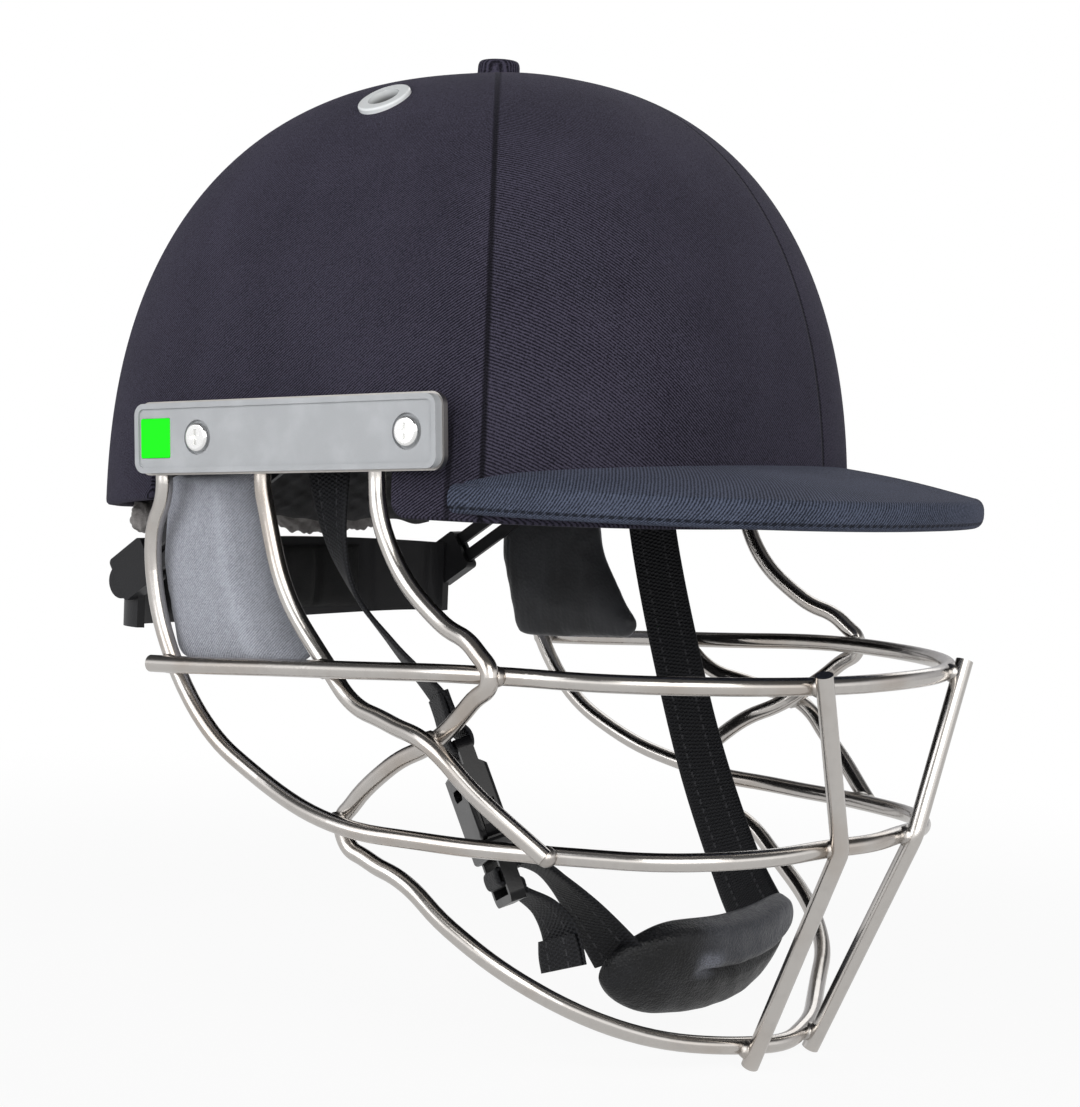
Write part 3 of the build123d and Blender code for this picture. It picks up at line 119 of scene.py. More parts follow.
# Rolls of comfort cloth under the rim: radius, place, and the middle and half the length of each in the plan
neck_roll_radius, neck_roll_inside, neck_roll_drop = 0.0056, 0.0105, 0.0040
neck_roll_middle, neck_roll_span = radians(115), radians(14)

# Temple pads: their front edge in Y and Z, the sloped band beside it and how that widens downwards
temple_edge = [(0.0208, 0.020), (0.0139, -0.0076), (0.0038, -0.0247), (-0.0057, -0.0338)]
temple_band, temple_band_growth, temple_band_top = 0.0165, 0.003, 0.018
temple_growth_top, temple_growth_drop, temple_band_fade, temple_crown = 0.016, 0.05, 0.006, 0.0005

# Chin cup: half its length, its middle, how far its ends sweep back and rise, and its section
cup_half_length, cup_ahead, cup_level, cup_sweep, cup_rise = 0.046, 0.093, 0.123, 0.008, 0.005
cup_half_height, cup_half_thickness, cup_end_share = 0.0155, 0.0065, 0.62
cup_tilt = radians(25)
cup_roundness = 0.82

# How much the chin cup narrows to its buckle end, and how far that end hangs
cup_taper, cup_droop = 0.36, 0.0050

# Long crease of the chin cup, the swell above it and the roll along its upper edge: depth or height in metres,
# then level and width as shares of the cup's half height
crease_depth, crease_level, crease_width = 0.0026, 0.10, 0.075
crease_swell, swell_above_crease, swell_width = 0.0012, 0.32, 0.22
edge_roll, edge_roll_level, edge_roll_width = 0.0010, 0.86, 0.2

# Section of the webbing
webbing_half_width, webbing_half_thickness = 0.0095, 0.0008

# Buckle: its origin, the lean of its length and its turn about it
buckle_origin = Vector((-0.070, -0.0465, -0.057))
buckle_in, buckle_lean, buckle_turn = radians(4.3), radians(24.9), radians(39)
buckle_down = Vector((sin(buckle_in), -sin(buckle_lean), -cos(buckle_lean))).normalized()
buckle_level = Vector((1, 0, 0)).cross(buckle_down).normalized()


def buckle_width_at(turn):
    """Direction across the webbing at the buckle, turned inwards about the buckle's length."""
    return buckle_level * cos(turn) + buckle_down.cross(buckle_level) * sin(turn)


buckle_across = buckle_width_at(buckle_turn)
buckle_out = buckle_down.cross(buckle_across)


def at_buckle(out, down, across=0.0):
    """Place given from the buckle's top: towards its inner face, along its length and across."""
    return buckle_origin + buckle_across * across + buckle_out * out + buckle_down * down


# Chin strap: where it leaves its two anchors, and where it meets the chin cup, just inside the cup's ends
near_post, far_post = Vector((-0.080, -0.002, 0.038)), Vector((0.080, -0.002, 0.038))
cup_hold = 0.008
cup_near = Vector((-cup_half_length + cup_hold, cup_sweep - cup_ahead, cup_rise - cup_level))
cup_far = Vector((cup_half_length - cup_hold, cup_sweep - cup_ahead, cup_rise - cup_level))

# Webbing at the buckle, down along it: where the near run meets its loop, and where the tail and the lower
# webbing start; and how far from a bar's middle webbing lies that goes round it
loop_start, lock_bar = -0.00533, 0.0387
bar_round = 0.00315

# Crossings of the grille's wires, as shares of its half width, reach and drop
grille_half_width, grille_reach, grille_drop = 0.093, 0.150, 0.145
crossing_shares = [(1.0, 0.32, 0.286), (0.991, -0.095, 0.257), (1.009, -0.53, 0.23), (0.976, -0.137, 0.56),
                   (0.894, -0.609, 0.569), (1.004, -0.378, 0.37), (0.398, -0.987, 0.2276),
                   (0.216, -0.965, 0.554), (0.178, -0.779, 0.9855)]


# Settings a user may change

def length(name, description, default):
    return FloatProperty(name=name, description=description, default=default, min=0, precision=5,
                         unit="LENGTH")


def power(name, description, default):
    return FloatProperty(name=name, description=description, default=default, min=0, unit="POWER")


def angle(name, description, degrees):
    return FloatProperty(name=name, description=description, default=radians(degrees), unit="ROTATION")


def colour(name, description, default):
    return FloatVectorProperty(name=name, description=description, default=default, size=3, min=0, max=1,
                               subtype="COLOR")


class HelmetClothSettings(bpy.types.PropertyGroup):
    """Cloth of the dome, the button and the peak."""
    cover_colour: colour("Cover", "Twill on the dome", (0.0052, 0.0047, 0.0084))
    cover_pale: colour("Cover ribs", "Raised ribs of the twill on the dome", (0.0560, 0.0510, 0.0780))
    peak_colour: colour("Peak", "Twill on the peak", (0.0125, 0.0150, 0.0235))
    peak_pale: colour("Peak ribs", "Raised ribs of the twill on the peak", (0.0840, 0.0985, 0.1450))
    rib_pitch: length("Rib pitch", "Distance from one twill rib to the next", 0.00080)
    seam_width: length("Seam width", "Width of the groove at a sewn seam", 0.0012)


class HelmetPadSettings(bpy.types.PropertyGroup):
    """Foam pads and their cloth."""
    outer_colour: colour("Pad cloth", "Outer face of the temple pads", (0.318, 0.330, 0.372))
    inner_colour: colour("Pad lining", "Inner face of the temple pads", (0.017, 0.0175, 0.0195))
    roll_colour: colour("Roll cloth", "Brushed cloth of the rolls under the rim", (0.330, 0.312, 0.305))
    comfort_colour: colour("Comfort cloth", "Brushed cloth of the neck pad", (0.085, 0.085, 0.088))
    lining_colour: colour("Lining cloth", "Brushed cloth of the brow and crown pads", (0.022, 0.022, 0.025))
    cup_colour: colour("Chin cup", "Coated cloth of the chin cup", (0.0175, 0.0185, 0.0220))
    foam_colour: colour("Liner foam", "Moulded bead foam of the liner", (0.016, 0.016, 0.018))
    temple_swell: length("Temple pad swell", "Most that the temple pads' stuffing may push out", 0.0014)
    temple_widening: length("Temple widening", "How far a temple pad reaches behind its solid", 0.0050)
    temple_drop: length("Temple drop", "How far a temple pad reaches below its solid", 0.0040)
    temple_bevel: length("Temple pad bevel", "Depth of the sloped band along the front edge", 0.0052)
    voxel: length("Pad mesh", "Spacing of the pads' mesh before it is stuffed", 0.0018)


class HelmetHardwareSettings(bpy.types.PropertyGroup):
    """Metal and plastic."""
    wire_colour: colour("Grille wire", "Satin steel of the grille", (0.55, 0.525, 0.50))
    weld_colour: colour("Weld colour", "Heat colour of the steel at its welds", (0.40, 0.33, 0.27))
    plate_colour: colour("Side plate", "Satin plastic of the side plates", (0.390, 0.402, 0.418))
    inlay_colour: colour("Inlay", "Plain square on the side plates", (0.0, 0.95, 0.0))
    grommet_colour: colour("Grommet", "Plastic of the vent grommets", (0.74, 0.76, 0.77))
    black_colour: colour("Black plastic", "Buckle, adjuster and shell", (0.0115, 0.0115, 0.013))
    bead_radius: length("Weld bead", "Radius of the weld at a crossing of two wires", 0.0031)


class HelmetStrapSettings(bpy.types.PropertyGroup):
    """Webbing of the chin strap."""
    webbing_colour: colour("Webbing", "Woven strap", (0.0048, 0.0050, 0.0062))
    thread_colour: colour("Thread", "Sewing thread on the straps", (0.034, 0.034, 0.038))
    weave_pitch: length("Weave pitch", "Distance from one cross rib of the webbing to the next", 0.0013)
    stitch_at: length("Stitch line", "How far from the webbing's middle its sewn lines run", 0.0045)


class HelmetStageSettings(bpy.types.PropertyGroup):
    """Camera, floor and lamps."""
    camera_place: FloatVectorProperty(name="Camera place", description="Where the camera stands", size=3,
                                      default=(-0.6560, -0.5305, 0.0415), subtype="TRANSLATION",
                                      unit="LENGTH")
    camera_turn: angle("Camera turn", "Direction of the view, from +X towards +Y", 37.876)
    camera_fall: angle("Camera fall", "How far the view points down", 3.229)
    camera_roll: angle("Camera roll", "How far the camera leans about its view", 2.302)
    camera_lens: FloatProperty(name="Focal length", description="Focal length in mm for a frame 36 mm wide",
                               default=88.33, min=10)
    floor_colour: colour("Floor", "Pale floor", (0.82, 0.82, 0.82))
    world_strength: FloatProperty(name="Room light", description="Strength of the light from all round",
                                  default=0.42, min=0)
    key_power: power("Key lamp", "Power of the main lamp", 20.4)
    fill_power: power("Fill lamp", "Power of the lamp that lights the other side", 12.5)
    rim_power: power("Rim lamp", "Power of the lamp behind the helmet", 6.25)


# Finishes

class Field:
    """A value that varies over a surface, usable in Python sums."""

    def __init__(self, finish, socket):
        self.finish, self.socket = finish, socket

    def maths(self, operation, *others):
        return self.finish.maths(operation, self, *others)

    def __add__(self, other):
        return self.maths("ADD", other)

    def __sub__(self, other):
        return self.maths("SUBTRACT", other)

    def __rsub__(self, other):
        return self.finish.maths("SUBTRACT", other, self)

    def __mul__(self, other):
        return self.maths("MULTIPLY", other)

    def __abs__(self):
        return self.maths("ABSOLUTE")

    __radd__, __rmul__ = __add__, __mul__

    def least(self, other):
        return self.maths("MINIMUM", other)

    def most(self, other):
        return self.maths("MAXIMUM", other)

    def above(self, level):
        return self.maths("GREATER_THAN", level)

    def wave(self, pitch):
        """Rounded ribs from 0 to 1, one for each pitch."""
        return (self * (2 * pi / pitch)).maths("SINE") * 0.5 + 0.5

    def rise(self, low, high):
        """0 below low, 1 above high and smooth between them."""
        return self.finish.node("ShaderNodeMapRange", {"interpolation_type": "SMOOTHSTEP"},
                                {"Value": self, "From Min": low, "From Max": high})


class Finish:
    """The look of a material or of the world, built up from its nodes."""

    def __init__(self, name, kind="materials"):
        self.owner = getattr(bpy.data, kind).new(name)
        self.owner.use_nodes = True
        self.tree = self.owner.node_tree
        self.tree.nodes.clear()

    def node(self, kind, settings=None, inputs=None, output=0):
        """New node, with its settings and then its inputs, and the field that leaves it."""
        added = self.tree.nodes.new(kind)
        for name, value in (settings or {}).items():
            setattr(added, name, value)
        for name, value in (inputs or {}).items():
            socket = added.inputs[name]
            if isinstance(value, Field):
                self.tree.links.new(value.socket, socket)
            elif socket.type == "RGBA":
                socket.default_value = (*value, 1)
            else:
                socket.default_value = value
        return Field(self, added.outputs[output]) if added.outputs else None

    def maths(self, operation, *values):
        return self.node("ShaderNodeMath", {"operation": operation}, dict(enumerate(values)))

    def place(self):
        return self.node("ShaderNodeTexCoord", output="Object")

    def axes(self, vector=None):
        vector = vector or self.place()
        return [self.node("ShaderNodeSeparateXYZ", {}, {0: vector}, output=i) for i in range(3)]

    def stretched(self, shares):
        return self.node("ShaderNodeVectorMath", {"operation": "MULTIPLY"}, {0: self.place(), 1: shares})

    def attribute(self, name):
        return self.node("ShaderNodeAttribute", {"attribute_name": name}, output="Fac")

    def noise(self, scale, detail=2.0, vector=None):
        inputs = {"Vector": vector or self.place(), "Scale": scale, "Detail": detail}
        return self.node("ShaderNodeTexNoise", {}, inputs)

    def cells(self, scale):
        return self.node("ShaderNodeTexVoronoi", {}, {"Vector": self.place(), "Scale": scale})

    def blend(self, share, first, second):
        """First colour where share is 0, second where it is 1."""
        return self.node("ShaderNodeMix", {"data_type": "RGBA"}, {0: share, 6: first, 7: second}, output=2)

    def bump(self, height, depth, strength=1.0):
        return self.node("ShaderNodeBump", {}, {"Height": height, "Distance": depth, "Strength": strength})

    def surface(self, base, roughness, normal, **constants):
        """Finish the material with these fields and constants, and return it."""
        inputs = {"Base Color": base, "Roughness": roughness, "Normal": normal}
        inputs.update({name.replace("_", " "): value for name, value in constants.items()})
        return self.shown(self.node("ShaderNodeBsdfPrincipled", {}, inputs))

    def shown(self, shader, output="ShaderNodeOutputMaterial"):
        """Show this shader, and return what it belongs to."""
        self.node(output, {}, {"Surface": shader})
        return self.owner


def scaled(tint, share):
    return tuple(min(1, channel * share) for channel in tint)


def twill(finish, phase, dark, pale, pitch, groove):
    """Twill cloth with ribs along lines of equal phase, and grooves where groove is 1, darkened by painted
    shade.
    """
    slub, thread = finish.noise(520, 2), finish.noise(1900, 2)
    fleck, patch = finish.noise(3400, 1), finish.noise(34, 3)
    rib_waver, relief, groove_depth = pitch * 0.4, 0.00030, 2.4
    ribs = (phase + slub * rib_waver).wave(pitch)
    share = ribs * 0.62 + thread * 1.05 + fleck * 0.85 + patch * 0.35 + slub * 0.1 - 0.98
    tone = finish.blend(share.rise(0.10, 0.92), dark, pale)
    height = ribs * 0.5 + thread * 0.7
    if isinstance(groove, Field):
        # Painted shade in the grooves of the seams, folds and stitch lines
        tone = finish.blend(groove * 0.8, tone, scaled(dark, 0.3))
        height = height - groove * groove_depth
    return finish.surface(tone, 0.82 + fleck * 0.12, finish.bump(height, relief, 0.7), Sheen_Weight=0.07,
                          Sheen_Roughness=0.4, Sheen_Tint=(0.62, 0.60, 0.78), Specular_IOR_Level=0.12)


def seam_frame(x, back, turn):
    """Distances across and along a seam that runs down at this plan angle from +X towards the front."""
    return x * sin(turn) + back * cos(turn), x * cos(turn) - back * sin(turn)


def off_seam(across, out):
    """Distance from a seam, and more than any real one on the side of the button where it doesn't run."""
    return abs(across) + (1 - out.above(0)) * shell_height


def cover_twill(cloth):
    """Twill of the dome, laid panel by panel, with the four seams and the folds beside the ears."""
    finish = Finish("cover_twill")
    x, y, z = finish.axes()
    back = y - seam_start
    far_seam, near_seam = seam_frame(x, back, seam_angle), seam_frame(-1 * x, back, seam_angle)
    seam = off_seam(*far_seam).least(off_seam(*near_seam)).least(off_seam(x, back))
    seam = seam.least(off_seam(*seam_frame(x, back, inner_seam_angle)))
    groove = 1 - seam.rise(cloth.seam_width * 0.25, cloth.seam_width)
    low_down = 1 - z.rise(ear_fold_low, ear_fold_high)
    for side, (across, _) in ((1, far_seam), (-1, near_seam)):
        fold = off_seam(across - ear_fold_gap, x * side)
        groove = groove.most((1 - fold.rise(0.0003, 0.0014)) * low_down * 0.8)
    front = (1 - far_seam[0].above(0)) * (1 - near_seam[0].above(0))
    run = x * front + (y - abs(x) * 0.6) * (1 - front)
    climb = z.maths("ARCTAN2", (x * x + y * y).maths("SQRT")) * (shell_height * 0.85)
    phase = (climb + run) * 0.71
    return twill(finish, phase, cloth.cover_colour, cloth.cover_pale, cloth.rib_pitch, groove)


def flat_twill(name, cloth, dark, pale, stitch_at=None):
    """Twill of the peak and the button, laid flat, with a sewn line where across is stitch_at."""
    finish = Finish(name)
    x, y, _ = finish.axes()
    phase, groove = y * 0.5 + x * 0.86, 0.0
    if stitch_at is not None:
        along, across = finish.attribute("along"), finish.attribute("across")
        phase = along * 0.8 + across * 0.6
        stitch_pitch = 0.0026
        line = 1 - abs(across - stitch_at).rise(0.0002, 0.0007)
        groove = line * (0.45 + 0.55 * along.wave(stitch_pitch).rise(0.3, 0.6))
    return twill(finish, phase, dark, pale, cloth.rib_pitch, groove)


def brushed_steel(name, tint, warm, grain, rough):
    """Satin steel with fine marks along the given grain and faint heat colour."""
    finish = Finish(name)
    marks = finish.noise(1.0, 3, finish.stretched(grain))
    patch = finish.noise(26, 3)
    tone = finish.blend(patch.rise(0.50, 0.72) * 0.5, tint, warm)
    tone = finish.blend(marks.rise(0.45, 0.75) * 0.12, tone, scaled(tint, 0.6))
    relief = finish.bump(marks, 0.00001, 0.3)
    return finish.surface(tone, rough + marks * 0.05 + patch * 0.05, relief, Metallic=1.0)


def moulded(name, tint, rough, grain_scale, grain_depth, gloss=0.0):
    """Moulded plastic with a fine grain and slight wear."""
    finish = Finish(name)
    grain = finish.noise(grain_scale, 2)
    worn = finish.noise(90, 4)
    tone = finish.blend(worn.rise(0.40, 0.75) * 0.5 + grain * 0.2, scaled(tint, 0.92), scaled(tint, 1.18))
    return finish.surface(tone, rough + worn * 0.10, finish.bump(grain, grain_depth, 0.6), Coat_Weight=gloss,
                          Coat_Roughness=0.08, Specular_IOR_Level=0.2)


def vented_plastic(name, tint, rough):
    """Pale plastic of the vent grommets, with painted shade inside the bore."""
    finish = Finish(name)
    x, y, z = finish.axes()
    aside, back, over = abs(x) - vent_middle[0], y - vent_middle[1], z - vent_middle[2]
    along = aside * vent_way[0] + back * vent_way[1] + over * vent_way[2]
    away = aside * aside + back * back + over * over - along * along
    in_bore = 1 - away.rise(vent_bore ** 2 * 0.92, vent_bore ** 2 * 1.05)
    # Painted shade deep in the bore, fading out towards its mouth
    bore_shade = in_bore * (1 - along.rise(vent_bore_shade_below, vent_bore_shade_ends))
    tone = finish.blend(bore_shade, tint, scaled(tint, 0.22))
    return finish.surface(tone, rough, finish.bump(finish.noise(1200, 2), 0.00003, 0.6), Coat_Weight=0.4,
                          Coat_Roughness=0.08, Specular_IOR_Level=0.2)


def woven_pad(name, outer, inner, boundary):
    """Cloth of the temple pads.

    Outside it is a fine twill, with painted shade on the sloped band and a painted highlight along its
    edge. Towards the face, at less than the boundary from the middle, it is a dark coated cloth.
    """
    finish = Finish(name)
    x, y, z = finish.axes()
    slub, thread, patch = finish.noise(500, 2), finish.noise(1600, 2), finish.noise(45, 3)
    grain = finish.cells(900)
    folds = finish.noise(1.0, 2, finish.stretched((60, 170, 16)))
    weave_pitch, relief = 0.00068, 0.00022
    weave = (y * 0.75 + z * 0.66 + slub * 0.0004).wave(weave_pitch)
    facing = abs(x).rise(boundary - 0.0004, boundary + 0.0004)
    band = finish.attribute("band")
    share = weave * 0.35 + thread * 0.95 + patch * 0.2 + slub * 0.3 - 0.4
    tone = finish.blend(share.rise(0.1, 0.9), scaled(outer, 0.66), scaled(outer, 1.3))
    # Painted highlight along the edge of the sloped band
    crest_highlight = (1 - abs(band - 0.05).rise(0.0, 0.10)) * (1 - (0.0005 - band).above(0))
    tone = finish.blend(crest_highlight * 0.24, tone, scaled(outer, 1.4))
    # Painted shade on the sloped band, deeper towards the front edge
    tone = finish.blend(band.rise(0.08, 0.35) * 0.28 + band.rise(0.4, 0.85) * 0.3, tone, scaled(outer, 0.3))
    lining = finish.blend(patch.rise(0.35, 0.7), inner, scaled(inner, 2.2))
    tone = finish.blend(facing, lining, tone)
    height = facing * (weave * 0.6 + thread * 0.8) + (1 - facing) * (grain * 0.5 + folds * 5)
    return finish.surface(tone, 0.44 + facing * 0.44, finish.bump(height, relief, 0.7), Sheen_Weight=0.05,
                          Specular_IOR_Level=0.25)


def brushed_cloth(name, tint):
    """Soft brushed cloth with short fibres."""
    finish = Finish(name)
    fibre, patch = finish.noise(4200, 3), finish.noise(140, 3)
    share = (fibre * 0.6 + patch * 0.5 - 0.1).rise(0.1, 0.8)
    tone = finish.blend(share, scaled(tint, 0.55), scaled(tint, 1.5))
    relief = finish.bump(fibre + patch, 0.0006, 0.8)
    return finish.surface(tone, 0.9 + fibre * 0.05, relief, Sheen_Weight=0.08, Specular_IOR_Level=0.1)


def coated_cloth(name, tint):
    """Grained coated cloth of the chin cup, with painted highlights and glints on its upper band."""
    finish = Finish(name)
    grain, crease, worn = finish.cells(1150), finish.noise(330, 4), finish.noise(75, 3)
    fleck = finish.noise(2400, 2)
    lines = finish.noise(1.0, 3, finish.stretched((55, 190, 260)))
    along, across = finish.attribute("along"), finish.attribute("across")
    # Painted highlight on the upper band, fading out towards the buckle end
    rolled = across.rise(0.0030, 0.0062) * along.rise(-0.55 * cup_half_length, -0.2 * cup_half_length)
    # Painted highlight patch on the upper band, towards the buckle end
    painted_glint_middle, painted_glint_height = -0.30 * cup_half_length, 0.0045
    painted_glint = 1 - abs(along - painted_glint_middle).rise(0.02 * cup_half_length, 0.16 * cup_half_length)
    painted_glint = painted_glint * (1 - abs(across - painted_glint_height).rise(0.001, 0.0060))
    # Faint random patches, and painted highlight on the upper band
    tone = finish.blend(worn.rise(0.42, 0.7) * 0.12 + rolled * 0.85, scaled(tint, 0.12), scaled(tint, 2.6))
    # Pale flecks of the grain everywhere, and more on the upper band as painted glints
    tone = finish.blend(fleck.rise(0.52, 0.72) * (0.12 + rolled * 0.5), tone, scaled(tint, 5.0))
    # Painted highlight patch, broken up by the flecks
    tone = finish.blend(painted_glint * (0.35 + fleck.rise(0.42, 0.60) * 0.65), tone, scaled(tint, 11))
    relief = finish.bump(grain * 0.5 + fleck * 0.5 + crease * 0.8 + lines * 0.8, 0.0006, 0.75)
    return finish.surface(tone, 0.22 + crease * 0.34, relief, Specular_IOR_Level=0.30)


def webbing_weave(name, straps):
    """Ribbed webbing, with sewn lines on both sides of its middle."""
    finish = Finish(name)
    along, across = finish.attribute("along"), finish.attribute("across")
    pitch, tint = straps.weave_pitch, straps.webbing_colour
    column_pitch, stitch_pitch, relief = 0.0031, 0.0034, 0.00035
    column = across.wave(column_pitch).rise(0.3, 0.7)
    ribs = along.wave(pitch) * column + (along + pitch / 2).wave(pitch) * (1 - column)
    fleck = finish.noise(3800, 2)
    edge = abs(across).rise(webbing_half_width * 0.80, webbing_half_width * 0.93)
    line = 1 - abs(abs(across) - straps.stitch_at).rise(0.0002, 0.0006)
    stitch = line * along.wave(stitch_pitch).rise(0.25, 0.45)
    tone = finish.blend((ribs * 0.5 + fleck * 0.5).rise(0.25, 0.85), scaled(tint, 0.6), scaled(tint, 2.6))
    tone = finish.blend(stitch, tone, straps.thread_colour)
    height = ribs * 0.8 * (1 - edge * 0.5) + fleck * 0.3 + stitch * 1.2
    return finish.surface(tone, 0.46 + fleck * 0.2, finish.bump(height, relief, 0.9), Specular_IOR_Level=0.18)


def bead_foam(name, tint):
    """Moulded foam, with the cells of its beads."""
    finish = Finish(name)
    beads, patch = finish.cells(330), finish.noise(50, 2)
    tone = finish.blend(beads.rise(0.1, 0.6), scaled(tint, 1.5), scaled(tint, 0.7))
    tone = finish.blend(patch * 0.3, tone, scaled(tint, 1.6))
    return finish.surface(tone, 0.7 + patch * 0.1, finish.bump(beads, 0.0005, 0.5), Specular_IOR_Level=0.2)


# Dressing

def both(name):
    """Names of the left and right one of a pair of nodes."""
    return f"{name}_left", f"{name}_right"


def dress(piece, finish, body, slot, *nodes):
    """Give a piece its finish and its body, and hide the nodes that it stands for. The slot is not used."""
    piece.data.materials.clear()
    piece.data.materials.append(finish)
    if nodes:
        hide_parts(*nodes)
    if body:
        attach(piece, body)
    return piece


def coat(finish, *nodes):
    """Give CAD nodes their finish."""
    for node in nodes:
        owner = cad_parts[node]
        if not owner.material_slots:
            owner.data.materials.append(finish)
        for slot in owner.material_slots:
            slot.material = finish


# Meshes

def signed_power(values, exponent):
    return np.sign(values) * np.abs(values) ** exponent


def faded(values):
    """Values held between 0 and 1."""
    return np.clip(values, 0, 1)


def placed(name, data):
    """New object in the scene, with this mesh, lamp or camera."""
    owner = bpy.data.objects.new(name, data)
    bpy.context.scene.collection.objects.link(owner)
    return owner


def written(form, mesh):
    """Write a form to its mesh, shaded smooth."""
    for face in form.faces:
        face.smooth = True
    form.to_mesh(mesh)
    form.free()


def tidy_mesh(mesh, drop=None):
    """Merge doubled points, take out the faces that drop picks, face all outwards and shade smooth."""
    form = bmesh.new()
    form.from_mesh(mesh)
    bmesh.ops.remove_doubles(form, verts=form.verts, dist=1e-6)
    if drop:
        dropped = [face for face in form.faces if drop(face.calc_center_median())]
        bmesh.ops.delete(form, geom=dropped, context="FACES")
    bmesh.ops.recalc_face_normals(form, faces=form.faces)
    written(form, mesh)


def set_values(mesh, label, values):
    """Keep one number for each point of the mesh."""
    values = values.astype(np.float32).ravel()
    mesh.attributes.new(label, "FLOAT", "POINT").data.foreach_set("value", values)


def grid_piece(name, places, along=None, across=None, around=False, capped=False):
    """Object with a smooth sheet through a grid of places, and the along and across length of each place."""
    rows, columns = places.shape[:2]
    index = np.arange(rows * columns).reshape(rows, columns)
    if around:
        index = np.hstack([index, index[:, :1]])
    corners = [index[:-1, :-1], index[:-1, 1:], index[1:, 1:], index[1:, :-1]]
    faces = np.stack(corners, -1).reshape(-1, 4).tolist()
    if capped:
        faces += [index[0, :columns].tolist(), index[-1, :columns].tolist()]
    mesh = bpy.data.meshes.new(name)
    mesh.from_pydata(places.reshape(-1, 3).tolist(), [], faces)
    for label, values in (("along", along), ("across", across)):
        if values is not None:
            set_values(mesh, label, np.broadcast_to(values, (rows, columns)))
    tidy_mesh(mesh)
    return placed(name, mesh)


def places_of(piece):
    places = np.empty(len(piece.data.vertices) * 3)
    piece.data.vertices.foreach_get("co", places)
    return places.reshape(-1, 3)


def settled(piece):
    """Apply the piece's modifiers to its mesh."""
    view = bpy.context.evaluated_depsgraph_get()
    mesh = bpy.data.meshes.new_from_object(piece.evaluated_get(view), preserve_all_data_layers=True,
                                           depsgraph=view)
    piece.modifiers.clear()
    piece.data = mesh
    for face in mesh.polygons:
        face.use_smooth = True
    return piece


def subdivided(piece):
    step = piece.modifiers.new("smooth", "SUBSURF")
    step.levels = step.render_levels = 1
    return settled(piece)


def plan_reach(y, grow):
    """Reach of the dome's plan on the side where y lies."""
    return np.where(y > 0, shell_rear, shell_front) + grow


def plan_share(x, y, grow):
    """0 at the middle of the dome's plan and 1 on its outline."""
    return np.abs(x / (shell_half_width + grow)) ** plan_power + np.abs(y / plan_reach(y, grow)) ** plan_power


def dome_places(turn, level, grow):
    """Places on the dome's form, at plan angles and heights, grown or shrunk by grow."""
    turn, level, grow = np.broadcast_arrays(turn, level, grow)
    ring = (1 - faded(level / (shell_height + grow)) ** profile_power) ** (1 / profile_power)
    x = (shell_half_width + grow) * signed_power(np.cos(turn), 2 / plan_power) * ring
    y = plan_reach(np.sin(turn), grow) * signed_power(np.sin(turn), 2 / plan_power) * ring
    return np.stack([x, y, level], -1)


def dome_height(x, y, grow):
    flat = np.minimum(plan_share(x, y, grow), 1) ** (profile_power / plan_power)
    return (shell_height + grow) * (1 - flat) ** (1 / profile_power)


def outside_dome(places, grow):
    x, y, z = np.moveaxis(places, -1, 0)
    flat = plan_share(x, y, grow) ** (profile_power / plan_power)
    return flat + np.abs(z / (shell_height + grow)) ** profile_power > 1


def emerging(start, end, grow):
    """Where the way from start to end comes out of the dome."""
    halvings = 24
    low, high = np.zeros(len(start)), np.ones(len(start))
    for _ in range(halvings):
        middle = (low + high) / 2
        out = outside_dome(start + (end - start) * middle[:, None], grow)
        low, high = np.where(out, low, middle), np.where(out, middle, high)
    return start + (end - start) * low[:, None]


def corner_step(offset, low, high):
    """Level of an outline that climbs from low to high where offset is 0, with both corners rounded."""
    offset = np.clip(offset, -rim_corner, rim_corner)
    lower = low + rim_corner - np.sqrt(rim_corner ** 2 - np.minimum(offset + rim_corner, rim_corner) ** 2)
    upper = high - rim_corner + np.sqrt(rim_corner ** 2 - np.maximum(offset - rim_corner, -rim_corner) ** 2)
    return np.where(offset < 0, lower, upper)


def rim_level(y):
    """Height of the shell's rim at a distance behind its middle."""
    base = rim_front + (rim_rear - rim_front) * faded((y - ear_rear) / (rear_end - ear_rear))
    front, rear = corner_step(y - ear_front, rim_front, rim_ear), corner_step(ear_rear - y, base, rim_ear)
    from_lobe = np.abs(y - lobe_middle)
    lobe = corner_step(from_lobe - lobe_half, lobe_level, rim_ear)
    return np.where(from_lobe < lobe_half + rim_corner, lobe, np.where(y < 0, front, rear))


